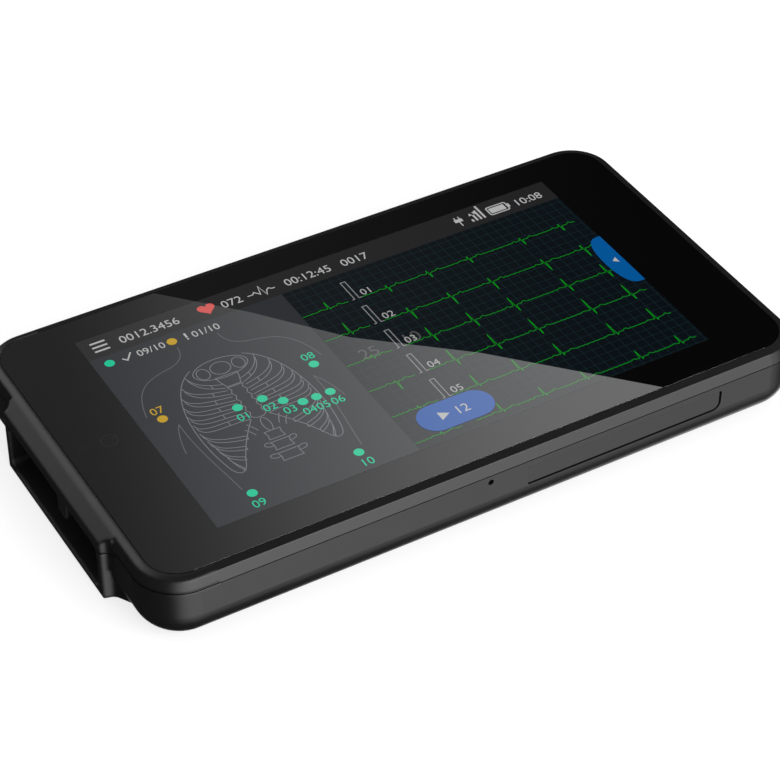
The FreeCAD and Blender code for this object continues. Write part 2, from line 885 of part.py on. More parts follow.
def connector_insulator():
    """The moulded block that holds the contacts."""
    inner_radius = socket_corner_radius - socket_wall / 2
    inside = socket_outline(-socket_wall)
    flange_back = socket_seat_x + flange_thickness
    nose = prism("x", inside, [inner_radius] * 4, socket_mouth_x + socket_wall, flange_back)
    back_x = (flange_back, insulator_back_x)
    back_y = (-socket_width / 2, socket_width / 2)
    back_z = (socket_mid_z - socket_height / 2, socket_mid_z + socket_height / 2)
    shape = nose.fuse(block(back_x, back_y, back_z))
    bores = [rod(contact_radius, start, "x", length) for start, length in contact_places(0)]
    return shape.cut(bores)


def contact_places(recess):
    """Start points and lengths of the contacts, one row above the board and one below."""
    start_x = socket_mouth_x + recess
    length = board_notch_x + contact_tail - start_x
    places = []
    rows = ((contacts_upper, board_top + contact_radius), (contacts_lower, board_bottom - contact_radius))
    for count, z in rows:
        for i in range(count):
            y = (i - (count - 1) / 2) * contact_pitch
            places.append((Vector(start_x, y, z), length))
    return places


def connector_contacts():
    places = contact_places(socket_wall + contact_bore_depth)
    return Part.makeCompound([rod(contact_radius, start, "x", length) for start, length in places])


def connector_screws():
    """Two short screws that hold the socket's flange to the recess's back wall."""
    shapes = []
    seat = socket_seat_x + flange_thickness
    for side in (-1, 1):
        y = side * flange_screw_spacing / 2
        shank = rod(flange_screw_radius, Vector(seat, y, socket_mid_z), "x", -flange_thickness)
        head = rod(flange_screw_head_radius, Vector(seat, y, socket_mid_z), "x", flange_screw_head)
        shapes.append(shank.fuse(head))
    return Part.makeCompound(shapes)


# ---- board and what it carries -------------------------------------------------------------------
def main_board():
    left = -inner_half_x + board_end_gap
    points = rectangle(left, board_right_x, -board_half_y, board_half_y)
    shape = prism("z", points, [corner_radius / 2] * 4, board_bottom, board_top)
    notch_half = hood_half_width + board_notch_gap
    notch_x = (left - overrun, board_notch_x)
    notch = block(notch_x, (-notch_half, notch_half), (board_bottom - overrun, board_top + overrun))
    holes = []
    for place in screw_places:
        holes.append(rod(screw_radius + board_hole_clearance, place, "z", body_thickness))
    return shape.cut([notch] + holes)


def board_shield(x_low):
    """One pressed metal screen over the board's circuits."""
    x_range = (x_low, x_low + shield_length)
    y_range = (-shield_width / 2, shield_width / 2)
    return rounded_block("z", x_range, y_range, shield_corner_radius, board_top, board_top + shield_height)


def cellular_module():
    x_range = (-module_length / 2, module_length / 2)
    y_range = (module_y - module_width / 2, module_y + module_width / 2)
    return rounded_block("z", x_range, y_range, module_corner_radius, board_top, board_top + module_height)


def usb_shell():
    half = usb_width / 2
    front = pocket_floor_y + usb_set_back
    x_range = (usb_x - half, usb_x + half)
    z_range = (board_top, board_top + usb_height)
    outer = pill("y", x_range, z_range, front, front + usb_depth)
    inner_x = (x_range[0] + usb_wall, x_range[1] - usb_wall)
    inner_z = (z_range[0] + usb_wall, z_range[1] - usb_wall)
    return outer.cut(pill("y", inner_x, inner_z, front - overrun, front + usb_depth - usb_wall))


def usb_tongue():
    back = pocket_floor_y + usb_set_back + usb_depth - usb_wall
    front = pocket_floor_y + usb_set_back + 2 * usb_wall
    x_range = (usb_x - usb_tongue_width / 2, usb_x + usb_tongue_width / 2)
    z_range = (port_mid_z - usb_tongue_thickness / 2, port_mid_z + usb_tongue_thickness / 2)
    return pill("y", x_range, z_range, front, back)


def card_socket(x, width, depth, slot_width):
    """A low metal socket whose slot opens towards the port cover."""
    front = pocket_floor_y + card_set_back
    height = card_slot_height + 2 * card_socket_wall
    shape = block((x - width / 2, x + width / 2), (front, front + depth), (board_top, board_top + height))
    slot_x = (x - slot_width / 2, x + slot_width / 2)
    slot_y = (front - overrun, front + depth - card_socket_wall)
    return shape.cut(block(slot_x, slot_y, (card_slot_z, card_slot_z + card_slot_height)))


def battery_connector():
    x_low = battery_high_x + battery_lead_length
    x_range = (x_low, x_low + battery_connector_length)
    y_range = (-battery_connector_width / 2, battery_connector_width / 2)
    return block(x_range, y_range, (board_bottom - battery_connector_height, board_bottom))


# ---- battery -------------------------------------------------------------------------------------
def battery_pack():
    half = battery_width / 2
    x_range = (battery_low_x, battery_high_x)
    return rounded_block("z", x_range, (-half, half), battery_corner_radius, battery_bottom, battery_top)


def battery_adhesive():
    half = battery_width / 2 - battery_corner_radius
    x_range = (battery_low_x + battery_corner_radius, battery_high_x - battery_corner_radius)
    return block(x_range, (-half, half), (floor_thickness, battery_bottom))


def battery_lead():
    x_range = (battery_high_x, battery_high_x + battery_lead_length)
    y_range = (-battery_lead_width / 2, battery_lead_width / 2)
    return block(x_range, y_range, (battery_top - battery_lead_thickness, battery_top))


# ---- port cover ----------------------------------------------------------------------------------
def port_cover():
    x_range = (cover_left_x, cover_right_x)
    z_range = (cover_low_z, cover_high_z)
    radii = [cover_small_radius, cover_corner_radius, cover_small_radius, cover_small_radius]
    back = -half_width + cover_thickness
    return prism("y", rectangle(*x_range, *z_range), radii, -half_width, back)


def cover_strap():
    """The soft tether that passes through the port wall and is held by its head inside."""
    x_range, z_range = strap_slot(0)
    neck = block(x_range, (pocket_floor_y, port_wall_y), z_range)
    head_x = (x_range[0] - 2 * strap_head_margin, x_range[1])
    head_z = (z_range[0] - strap_head_margin, z_range[1] + strap_head_margin)
    head = block(head_x, (port_wall_y, port_wall_y + strap_head_depth), head_z)
    return neck.fuse(head)


# ---- power button --------------------------------------------------------------------------------
def power_button():
    """A long key with a flange behind the wall."""
    half_x = power_length / 2
    half_z = power_height / 2
    face_y = half_width + power_proud
    flange_top = inner_half_y - power_flange_gap
    flange_low = flange_top - power_flange_thickness
    x_range = (power_x - half_x, power_x + half_x)
    z_range = (port_mid_z - half_z, port_mid_z + half_z)
    cap = pill("y", x_range, z_range, flange_low, face_y)
    cap = cap.makeFillet(power_proud / 2, [e for e in cap.Edges if e.BoundBox.YMin > face_y - near])
    wide_x = (x_range[0] - power_flange_margin, x_range[1] + power_flange_margin)
    wide_z = (z_range[0] - power_flange_margin, z_range[1] + power_flange_margin)
    return cap.fuse(rounded_block("y", wide_x, wide_z, power_flange_margin, flange_low, flange_top))


def power_plunger_range():
    high = inner_half_y - power_flange_gap - power_flange_thickness - plunger_gap
    return high - switch_plunger_depth, high


def power_plunger():
    low, high = power_plunger_range()
    x_range = (power_x - switch_plunger_length / 2, power_x + switch_plunger_length / 2)
    z_range = (port_mid_z - switch_plunger_height / 2, port_mid_z + switch_plunger_height / 2)
    return block(x_range, (low, high), z_range)


def power_switch():
    """The side-push switch on the board's edge, with the well that its plunger runs in."""
    low, high = power_plunger_range()
    front = high - switch_plunger_depth / 2
    x_range = (power_x - switch_length / 2, power_x + switch_length / 2)
    shape = block(x_range, (front - switch_depth, front), (board_top, board_top + switch_height))
    half_x = switch_plunger_length / 2 + plunger_clearance
    half_z = switch_plunger_height / 2 + plunger_clearance
    well_y = (low - power_travel - plunger_clearance, front + overrun)
    return shape.cut(block((power_x - half_x, power_x + half_x), well_y, (port_mid_z - half_z, port_mid_z + half_z)))


# ---- reset switch --------------------------------------------------------------------------------
def reset_plunger_start():
    return -inner_half_y + reset_wall_gap


def reset_plunger():
    start = Vector(reset_x, reset_plunger_start(), reset_z)
    return rod(reset_plunger_radius, start, "y", reset_plunger_length)


def reset_switch():
    """The small switch behind the pinhole, with the bore that its plunger runs in."""
    front = -board_half_y + reset_board_inset
    x_range = (reset_x - reset_switch_length / 2, reset_x + reset_switch_length / 2)
    top = reset_z + reset_switch_top_margin
    shape = block(x_range, (front, front + reset_switch_depth), (board_top, top))
    bore_start = Vector(reset_x, front - overrun, reset_z)
    bore_end = reset_plunger_start() + reset_plunger_length + reset_travel + plunger_clearance
    bore = rod(reset_plunger_radius + plunger_clearance, bore_start, "y", bore_end - bore_start.y)
    return shape.cut(bore)


# ---- speaker, antenna, screws --------------------------------------------------------------------
def speaker():
    x_range = (speaker_x - speaker_length / 2, speaker_x + speaker_length / 2)
    y_range = (speaker_y - speaker_width / 2, speaker_y + speaker_width / 2)
    high = min(floor_thickness + speaker_height, board_bottom - battery_top_gap)
    return rounded_block("z", x_range, y_range, speaker_corner_radius, floor_thickness, high)


def antenna_flex():
    high = parting_z - tongue_depth - tongue_gap
    x_range = (inner_half_x - antenna_thickness, inner_half_x)
    return block(x_range, (-antenna_length / 2, antenna_length / 2), (high - antenna_height, high))


def housing_screws():
    shapes = []
    for place in screw_places:
        seat = Vector(place.x, place.y, screw_seat)
        head = rod(screw_head_radius, seat, "z", -screw_head_height)
        top = seat - Vector(0, 0, screw_head_height)
        socket = rod(screw_recess_radius, top, "z", screw_head_height / 2)
        shank = rod(screw_radius, seat, "z", screw_length)
        shapes.append(head.fuse(shank).cut(socket))
    return Part.makeCompound(shapes)


# ---- output --------------------------------------------------------------------------------------
def all_parts():
    return {
        "front_housing": front_housing(),
        "rear_housing": rear_housing(),
        "cover_glass": cover_glass(),
        "glass_tape": glass_tape(),
        "display_cell": display_cell(),
        "backlight_unit": backlight_unit(),
        "display_frame": display_frame(),
        "display_flex": display_flex(),
        "display_connector": display_connector(),
        "front_camera": front_camera(),
        "light_sensor": light_sensor(),
        "connector_shell": connector_shell(),
        "connector_insulator": connector_insulator(),
        "connector_contacts": connector_contacts(),
        "connector_screws": connector_screws(),
        "main_board": main_board(),
        "amplifier_shield": board_shield(amplifier_shield_x),
        "processor_shield": board_shield(processor_shield_x),
        "cellular_module": cellular_module(),
        "usb_shell": usb_shell(),
        "usb_tongue": usb_tongue(),
        "sim_socket": card_socket(sim_x, sim_socket_width, sim_socket_depth, sim_slot_width),
        "memory_socket": card_socket(memory_x, memory_socket_width, memory_socket_depth, memory_slot_width),
        "battery_pack": battery_pack(),
        "battery_adhesive": battery_adhesive(),
        "battery_lead": battery_lead(),
        "battery_connector": battery_connector(),
        "port_cover": port_cover(),
        "cover_strap": cover_strap(),
        "power_button": power_button(),
        "power_plunger": power_plunger(),
        "power_switch": power_switch(),
        "reset_plunger": reset_plunger(),
        "reset_switch": reset_switch(),
        "speaker": speaker(),
        "antenna_flex": antenna_flex(),
        "housing_screws": housing_screws(),
    }


def main():
    os.makedirs("parts", exist_ok=True)
    for name, shape in all_parts().items():
        shape.exportStep(os.path.join("parts", name + ".step"))
        print(f"{name}: {len(shape.Solids)} solid(s), {shape.Volume:.1f} mm3, valid {shape.isValid()}")


main()
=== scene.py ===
"""Finishes, screen graphics, small contacts and stage of a handheld ECG home monitor.

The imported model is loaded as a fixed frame. All lengths are metres in that frame: the origin is the
middle of the flat back, +Z points out of the screen and -X towards the lead socket.
"""

import math

import bpy
import numpy as np
from bpy.props import FloatProperty, FloatVectorProperty, PointerProperty
from mathutils import Matrix, Vector


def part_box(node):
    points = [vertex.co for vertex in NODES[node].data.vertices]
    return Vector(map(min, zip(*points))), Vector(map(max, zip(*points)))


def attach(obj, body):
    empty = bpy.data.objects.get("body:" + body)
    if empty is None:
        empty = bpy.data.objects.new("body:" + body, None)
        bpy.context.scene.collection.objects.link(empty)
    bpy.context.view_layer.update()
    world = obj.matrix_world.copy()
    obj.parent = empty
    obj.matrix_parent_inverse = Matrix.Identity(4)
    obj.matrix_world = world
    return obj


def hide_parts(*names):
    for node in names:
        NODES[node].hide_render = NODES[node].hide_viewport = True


bl_info = {
    "name": "ECG home monitor",
    "version": (1, 0, 0),
    "blender": (4, 5, 0),
    "location": "3D View > Sidebar > ECG monitor",
    "description": "Finishes, screen graphics and stage of a handheld ECG home monitor",
    "category": "Object",
}

MM = 0.001
MERGE_DISTANCE = 1e-4 * MM

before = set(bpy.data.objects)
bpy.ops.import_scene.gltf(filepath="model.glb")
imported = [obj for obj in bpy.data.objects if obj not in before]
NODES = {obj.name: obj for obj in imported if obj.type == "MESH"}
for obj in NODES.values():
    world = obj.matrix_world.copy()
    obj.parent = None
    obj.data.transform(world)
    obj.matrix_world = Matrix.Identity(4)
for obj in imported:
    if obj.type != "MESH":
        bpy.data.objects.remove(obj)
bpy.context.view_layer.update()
GLASS_LOW, GLASS_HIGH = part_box("cover_glass")
CAMERA_LOW, CAMERA_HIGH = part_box("front_camera")
SENSOR_LOW, SENSOR_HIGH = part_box("light_sensor")
TONGUE_LOW, TONGUE_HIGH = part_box("usb_tongue")


def tone(red, green, blue):
    """Linear colour of a display value: ((c / 255 + 0.055) / 1.055) to the power 2.4."""
    return tuple(((c / 255 + 0.055) / 1.055) ** 2.4 for c in (red, green, blue))


def length(name, description, default):
    """A length setting in metres."""
    return FloatProperty(name=name, description=description, default=default, unit="LENGTH", precision=6)


def amount(name, description, default):
    """A plain number setting."""
    return FloatProperty(name=name, description=description, default=default)


def colour(name, description, default):
    """A linear colour setting."""
    return FloatVectorProperty(
        name=name, description=description, default=default, subtype="COLOR", size=3, min=0, max=1
    )


# ------------------------------------------------------------------------------ settings


class MonitorCasingSettings(bpy.types.PropertyGroup):
    """Colours and grain of the moulded outside."""

    shell_color: colour("Shell", "Colour of the front and rear housing", tone(27, 27, 28))
    cover_color: colour("Port cover", "Colour of the soft port cover", tone(25, 25, 26))
    button_color: colour("Button", "Colour of the power button", tone(24, 24, 25))
    shell_roughness: amount("Shell roughness", "Roughness of the housings", 0.3)
    grain_size: length("Grain size", "Size of the moulded grain", 0.28 * MM)
    grain_depth: length("Grain depth", "Depth of the moulded grain", 0.003 * MM)
    edge_rounding: length("Edge rounding", "Rounding of the hood's edges in their shine", 0.9 * MM)
    parting_height: length("Parting height", "Height of the line between the housings", 13.7 * MM)
    hood_parting: length("Hood parting", "Height of the line between the housings at the hood", 11.84 * MM)
    # Painted shade: over this width the line between the housings is painted black without shine, as the
    # shadow in the seam's gap.
    parting_width: length("Parting width", "Width of the shade between the housings", 0.18 * MM)
    print_color: colour("Border print", "Colour of the print under the glass", tone(7, 7, 8))


class MonitorScreenSettings(bpy.types.PropertyGroup):
    """Sizes and colours of the lit screen."""

    lit_width: length("Lit width", "Width of the lit area", 110.74 * MM)
    lit_height: length("Lit height", "Height of the lit area", 62.28 * MM)
    glass_corner: length("Glass corner", "Radius of the cover glass's corners", 6.72 * MM)
    shift_x: length("Shift along X", "Lit area's middle from the casing's middle", 0.32 * MM)
    shift_y: length("Shift along Y", "Lit area's middle from the casing's middle", 0.54 * MM)
    status_height: length("Status bar height", "Height of the bar along the far edge", 6.7 * MM)
    chest_width: length("Chest panel width", "Width of the panel with the electrode places", 43.4 * MM)
    grid_pitch: length("Grid pitch", "Distance between the grid's lines", 2.157 * MM)
    grid_line: length("Grid line", "Width of the grid's lines", 0.13 * MM)
    pixel_pitch: length("Pixel pitch", "Distance between the display's pixels", 0.115 * MM)
    trace_width: length("Trace width", "Width of the heartbeat traces", 0.12 * MM)
    line_width: length("Chest line width", "Width of the chest drawing's lines", 0.17 * MM)
    spot_radius: length("Spot radius", "Radius of an electrode's spot", 1.05 * MM)
    digit_height: length("Digit height", "Height of the digits in the status bar", 2.3 * MM)
    status_color: colour("Status bar", "Colour of the status bar", tone(33, 33, 34))
    chest_color: colour("Chest panel", "Colour of the chest panel", tone(41, 44, 48))
    chart_color: colour("Chart", "Colour of the chart behind the traces", tone(5, 14, 19))
    grid_color: colour("Grid", "Colour of the chart's grid", tone(18, 37, 43))
    trace_color: colour("Traces", "Colour of the heartbeat traces", tone(0, 154, 18))
    text_color: colour("Digits", "Colour of the digits and icons", tone(176, 176, 176))
    line_color: colour("Chest lines", "Colour of the chest drawing", tone(114, 114, 119))
    good_color: colour("Good contact", "Colour of a good electrode", tone(0, 190, 143))
    loose_color: colour("Loose contact", "Colour of a loose electrode", tone(187, 150, 24))
    heart_color: colour("Heart", "Colour of the heart icon", tone(205, 80, 76))
    start_color: colour("Start key", "Colour of the start key", tone(12, 80, 158))
    side_color: colour("Side key", "Colour of the side key", tone(0, 84, 150))


class MonitorStageSettings(bpy.types.PropertyGroup):
    """Camera, floor and lights."""

    camera_place: FloatVectorProperty(
        name="Camera place",
        description="Where the camera stands",
        default=(-0.207845, -0.355989, 0.351666),
        subtype="TRANSLATION",
        unit="LENGTH",
    )
    camera_azimuth: amount("Camera azimuth", "Degrees round from -Y", -30.22)
    camera_elevation: amount("Camera elevation", "Degrees above the floor", 40.14)
    camera_roll: amount("Camera roll", "Degrees about the line of sight", 0.167)
    camera_lens: amount("Camera lens", "Focal length on a 36 mm sensor", 122.39)
    floor_size: length("Floor size", "Side of the floor", 6.0)
    floor_color: colour("Floor", "Colour of the floor", (0.5, 0.5, 0.5))
    ambient: amount("Ambient", "Strength of the world on matt surfaces", 0.5)
    key_power: amount("Key light", "Power of the front light in watts", 12.0)
    front_glow: amount("Front glow", "Strength of the front window that gloss mirrors", 2.95)
    back_glow: amount("Back glow", "Strength of the back window that gloss mirrors", 1.6)
    side_glow: amount("Side glow", "Strength of the low window behind on the right", 1.4)
    softbox_distance: length("Softbox distance", "From the glass to the mirrored softbox", 0.7)


# ------------------------------------------------------------------------------ shapes


def join_shells(shells):
    """One shell out of many: points are stacked, and each face list is raised by the points before it."""
    points, faces, start = [], [], 0
    for shell_points, shell_faces in shells:
        points.append(np.asarray(shell_points, float))
        faces += [[i + start for i in face] for face in shell_faces]
        start += len(shell_points)
    return np.concatenate(points), faces


def grid_faces(rows, columns, close_rows=False):
    """Quads between neighbouring points of a rows by columns grid, whose points are numbered row by row.
    The last column joins the first."""
    i, j = np.meshgrid(np.arange(rows if close_rows else rows - 1), np.arange(columns), indexing="ij")
    i2, j2 = (i + 1) % rows, (j + 1) % columns
    quads = np.stack([i * columns + j, i * columns + j2, i2 * columns + j2, i2 * columns + j], -1)
    return quads.reshape(-1, 4).tolist()


def oval(centre, reach, steps=48):
    """Outline of a circle or an oval: the centre plus the reach, one number or one for each way, times
    the cosine and the sine of the turn."""
    turn = np.linspace(0, 2 * math.pi, steps, endpoint=False)
    return np.array(centre) + reach * np.stack([np.cos(turn), np.sin(turn)], -1)


def rounded_rectangle(half_x, half_y, radius, steps=8, centre=(0.0, 0.0)):
    """Outline of a rounded rectangle: each corner's arc runs a quarter turn at the radius about a
    point set in by the radius from both sides, counterclockwise."""
    arcs = []
    for quarter, signs in enumerate(((1, 1), (-1, 1), (-1, -1), (1, -1))):
        angle = np.linspace(0, math.pi / 2, steps) + quarter * math.pi / 2
        middle = np.array(signs) * (half_x - radius, half_y - radius) + centre
        arcs.append(middle + radius * np.stack([np.cos(angle), np.sin(angle)], -1))
    return np.concatenate(arcs)


def bezier(start, first, second, end, steps=24):
    """Cubic curve: the four points weighted by (1-t)^3, 3t(1-t)^2, 3t^2(1-t) and t^3."""
    t = np.linspace(0, 1, steps)[:, None]
    weights = ((1 - t) ** 3, 3 * t * (1 - t) ** 2, 3 * t**2 * (1 - t), t**3)
    return sum(w * np.array(p, float) for w, p in zip(weights, (start, first, second, end)))


def layered_slab(levels, radius):
    """Closed slab: a rounded rectangle of each level's half sizes stands at that level's height, with
    quads between neighbours and a lid at each end. Levels go from low to high."""
    rings = []
    for half_x, half_y, height in levels:
        outline = rounded_rectangle(half_x, half_y, radius)
        rings.append(np.column_stack([outline, np.full(len(outline), height)]))
    lid = np.arange(len(outline))
    last = len(outline) * (len(rings) - 1)
    faces = grid_faces(len(rings), len(outline)) + [lid[::-1].tolist(), (lid + last).tolist()]
    return np.concatenate(rings), faces


def ribbon(path, width, low, high, closed=False):
    """Flat bar carried along a path: at each point the two sides stand half the width away along the
    mean of the neighbouring runs' normals, stretched by one over the cosine of half the turn, and by
    twice at most. Each side has a low and a high corner."""
    path = np.asarray(path, float)
    if closed:
        runs = np.roll(path, -1, 0) - path
        before = np.roll(runs, 1, 0)
    else:
        runs = np.diff(path, axis=0)
        before = np.concatenate([runs[:1], runs])
        runs = np.concatenate([runs, runs[-1:]])

    def unit(vectors):
        return vectors / np.maximum(np.linalg.norm(vectors, axis=1, keepdims=True), 1e-12)

    first, second = (np.stack([-v[:, 1], v[:, 0]], -1) for v in (unit(before), unit(runs)))
    mean = unit(first + second)
    most = 2
    stretch = 1 / np.maximum((mean * second).sum(1, keepdims=True), 1 / most)
    side = mean * stretch * width / 2
    count = len(path)
    left, right = path + side, path - side
    corners = [
        np.hstack([edge, np.full((count, 1), height)])
        for edge, height in ((left, low), (right, low), (right, high), (left, high))
    ]
    points = np.stack(corners, 1).reshape(-1, 3)
    faces = grid_faces(count, 4, close_rows=closed)
    if not closed:
        faces += [[0, 1, 2, 3], [4 * count - 1, 4 * count - 2, 4 * count - 3, 4 * count - 4]]
    return points, faces


def add_object(name, data):
    """New object in the scene."""
    item = bpy.data.objects.new(name, data)
    bpy.context.scene.collection.objects.link(item)
    return item


def evaluated_mesh(item):
    """New mesh of an object with its modifiers applied."""
    graph = bpy.context.evaluated_depsgraph_get()
    return bpy.data.meshes.new_from_object(item.evaluated_get(graph), depsgraph=graph)


def flat_mesh(datablock, scale, low, high):
    """Points and faces of a flat curve or text block at a scale, as a plate between two heights."""
    holder = add_object("outline", datablock)
    mesh = evaluated_mesh(holder)
    points = np.zeros(len(mesh.vertices) * 3)
    mesh.vertices.foreach_get("co", points)
    faces = [list(p.vertices) for p in mesh.polygons]
    bpy.data.objects.remove(holder)
    bpy.data.meshes.remove(mesh)
    points = points.reshape(-1, 3)
    return np.column_stack([points[:, :2] * scale, np.where(points[:, 2] > 0, high, low)]), faces


def plate(outlines, low, high):
    """Flat plate between two heights inside closed outlines. An outline within another is a hole."""
    curve = bpy.data.curves.new("plate", "CURVE")
    curve.dimensions = "2D"
    curve.fill_mode = "BOTH"
    curve.extrude = 1.0
    for outline in outlines:
        spline = curve.splines.new("POLY")
        spline.points.add(len(outline) - 1)
        rows = np.column_stack([np.asarray(outline) / MM, np.zeros(len(outline)), np.ones(len(outline))])
        spline.points.foreach_set("co", rows.ravel())
        spline.use_cyclic_u = True
    return flat_mesh(curve, MM, low, high)


def digits(text, height, place, low, high, centred=False):
    """Flat digits between two heights. The place is the left or the middle of the text's base line,
    and the height is a digit's, which is its share times the text's size."""
    block = bpy.data.curves.new("digits", "FONT")
    block.body = text
    block.size = 1.0
    block.extrude = 0.1
    block.resolution_u = 4
    block.align_x = "CENTER" if centred else "LEFT"
    digit_share = 0.729
    points, faces = flat_mesh(block, height / digit_share, low, high)
    points[:, :2] += place
    return points, faces


def build_piece(name, shells, material):
    """New object at the origin from shells of points and faces, with its material: doubles within a
    tenth of a micrometre are merged, and normals are turned outwards."""
    points, faces = join_shells(shells)
    mesh = bpy.data.meshes.new(name)
    mesh.from_pydata((points / MM).tolist(), [], faces)
    piece = add_object(name, mesh)
    piece.modifiers.new("merge", "WELD").merge_threshold = MERGE_DISTANCE / MM
    welded = evaluated_mesh(piece)
    piece.modifiers.clear()
    piece.data = welded
    bpy.data.meshes.remove(mesh)
    welded.name = name
    set_outwards(piece)
    welded.transform(Matrix.Scale(MM, 4))
    welded.shade_flat()
    welded.materials.append(material)
    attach(piece, "casing")
    return piece


def set_outwards(piece):
    """Turns the faces of a closed mesh outwards."""
    bpy.context.view_layer.objects.active = piece
    bpy.ops.object.select_all(action="DESELECT")
    piece.select_set(True)
    bpy.ops.object.mode_set(mode="EDIT")
    bpy.ops.mesh.select_all(action="SELECT")
    bpy.ops.mesh.normals_make_consistent(inside=False)
    bpy.ops.object.mode_set(mode="OBJECT")


# ------------------------------------------------------------------------------ shader helpers


def set_input(tree, socket, value):
    """Links a socket to another, or sets it to a plain value."""
    if isinstance(value, bpy.types.NodeSocket):
        tree.links.new(value, socket)
    elif socket.type == "RGBA" and len(value) == 3:
        socket.default_value = (*value, 1)
    else:
        socket.default_value = value


def feed(tree, sockets, **values):
    """Sets or links sockets whose labels are written small, with _ for a space."""
    for key, value in values.items():
        set_input(tree, sockets[key.replace("_", " ").title().replace("Ior", "IOR")], value)


def add(tree, kind, inputs=(), **settings):
    """New node of a kind with its settings, and inputs set to values or linked to sockets."""
    node = tree.nodes.new("ShaderNode" + kind)
    for key, value in settings.items():
        setattr(node, key, value)
    for key, value in dict(inputs).items():
        set_input(tree, node.inputs[key], value)
    return node


def calc(tree, operation, *values):
    """Output of a Math node on values or sockets."""
    return add(tree, "Math", enumerate(values), operation=operation).outputs[0]


def times(tree, first, *others):
    """Output of values multiplied one after another."""
    for other in others:
        first = calc(tree, "MULTIPLY", first, other)
    return first


def mix(tree, factor, first, second):
    """Output of a mix of two numbers, or of two colours, from the first to the second."""
    plain = isinstance(second, float) or getattr(second, "type", None) == "VALUE"
    kind, low, high = ("FLOAT", 2, 3) if plain else ("RGBA", 6, 7)
    node = add(tree, "Mix", {0: factor, low: first, high: second}, data_type=kind)
    return node.outputs[0 if plain else 2]


def ramp(tree, value, start, end, low, high, interpolation="SMOOTHSTEP"):
    """Output that goes from low to high while a value goes from start to end."""
    inputs = {"Value": value, "From Min": start, "From Max": end, "To Min": low, "To Max": high}
    return add(tree, "MapRange", inputs, interpolation_type=interpolation).outputs[0]


def vector_calc(tree, operation, vector, other):
    """Output of a Vector Math node on a vector and another, or a scale."""
    key = "Scale" if operation == "SCALE" else 1
    node = add(tree, "VectorMath", {0: vector, key: other}, operation=operation)
    return node.outputs["Value" if operation == "DOT_PRODUCT" else "Vector"]


def object_place(tree):
    """Object coordinates in metres."""
    return add(tree, "TexCoord").outputs["Object"]


def axes(tree):
    """X, Y and Z of the object coordinates."""
    return add(tree, "SeparateXYZ", {0: object_place(tree)}).outputs


def noise(tree, place, scale, detail, roughness=0.5):
    """Output of a noise with so many bumps a metre."""
    inputs = {"Vector": place, "Scale": scale, "Detail": detail, "Roughness": roughness}
    return add(tree, "TexNoise", inputs).outputs[0]


def relief(tree, height, depth, strength=0.5, **others):
    """Normal of a bump that stands as deep as its depth where the height is one."""
    inputs = {"Strength": strength, "Distance": depth, "Height": height, **others}
    return add(tree, "Bump", inputs).outputs[0]


def new_group(name, inputs, outputs):
    """New shader node group with named inputs (name: default) and outputs (name: kind)."""
    tree = bpy.data.node_groups.new(name, "ShaderNodeTree")
    for label, default in inputs.items():
        kind = "NodeSocketFloat" if isinstance(default, float) else "NodeSocketColor"
        socket = tree.interface.new_socket(label, in_out="INPUT", socket_type=kind)
        socket.default_value = default if isinstance(default, float) else (*default, 1)
    for label, kind in outputs.items():
        tree.interface.new_socket(label, in_out="OUTPUT", socket_type="NodeSocket" + kind)
    return tree, tree.nodes.new("NodeGroupInput").outputs, tree.nodes.new("NodeGroupOutput").inputs


def effect(tree, name, inputs=()):
    """Outputs of a named effect group placed in a material."""
    return add(tree, "Group", inputs, node_tree=bpy.data.node_groups[name]).outputs


def make_effects():
    """Builds the effect groups that more than one material uses."""
    # Moulded grain: fine noise for height, wide noise for shade, middling noise for polish.
    tree, given, out = new_group(
        "moulded_grain", {"Grain size": 0.3 * MM}, {"Height": "Float", "Shade": "Float", "Polish": "Float"}
    )
    place = object_place(tree)
    per_metre = calc(tree, "DIVIDE", 1.0, given["Grain size"])
    cells = add(tree, "TexVoronoi", {"Vector": place, "Scale": per_metre}, feature="SMOOTH_F1")
    height = calc(tree, "ADD", noise(tree, place, per_metre, 2.0, 0.6), cells.outputs["Distance"])
    polish = noise(tree, place, 210.0, 4.0, 0.65)
    feed(tree, out, height=height, shade=noise(tree, place, 38.0, 3.0), polish=polish)

    # Brushed lines: noise drawn out along X.
    tree, given, out = new_group(
        "brushed_lines", {"Line size": 0.2 * MM}, {"Line": "Float", "Shade": "Float"}
    )
    place = object_place(tree)
    per_metre = calc(tree, "DIVIDE", 1.0, given["Line size"])
    drawn = vector_calc(tree, "MULTIPLY", place, (0.02, 1.0, 1.0))
    feed(tree, out, line=noise(tree, drawn, per_metre, 3.0), shade=noise(tree, place, 160.0, 4.0))

    # Display pixels: three upright stripes of red, green and blue a pixel, and a thin dark row.
    tree, given, out = new_group(
        "display_pixels", {"Color": (1.0, 1.0, 1.0), "Pitch": 0.115 * MM}, {"Color": "Color"}
    )
    across, down = (
        calc(tree, "FRACT", calc(tree, "DIVIDE", part, given["Pitch"])) for part in axes(tree)[:2]
    )
    between, gain, row_start, row_gain, row_dip = 0.9, 0.3, 0.88, 1.03, -0.25
    stripes = []
    for centre in (1 / 6, 1 / 2, 5 / 6):
        away = calc(tree, "ABSOLUTE", calc(tree, "SUBTRACT", across, centre))
        stripes.append(calc(tree, "MULTIPLY_ADD", calc(tree, "LESS_THAN", away, 1 / 6), gain, between))
    row = calc(tree, "MULTIPLY_ADD", calc(tree, "GREATER_THAN", down, row_start), row_dip, row_gain)
    mask = add(tree, "CombineXYZ", dict(enumerate(stripes))).outputs[0]
    lit = vector_calc(tree, "MULTIPLY", given["Color"], mask)
    feed(tree, out, color=vector_calc(tree, "SCALE", lit, row))


def new_material(name, **settings):
    """New material, its tree and its Principled shader's inputs, with plain values set on them."""
    material = bpy.data.materials.new(name)
    material.use_nodes = True
    shader = material.node_tree.nodes["Principled BSDF"].inputs
    feed(material.node_tree, shader, **settings)
    return material, material.node_tree, shader


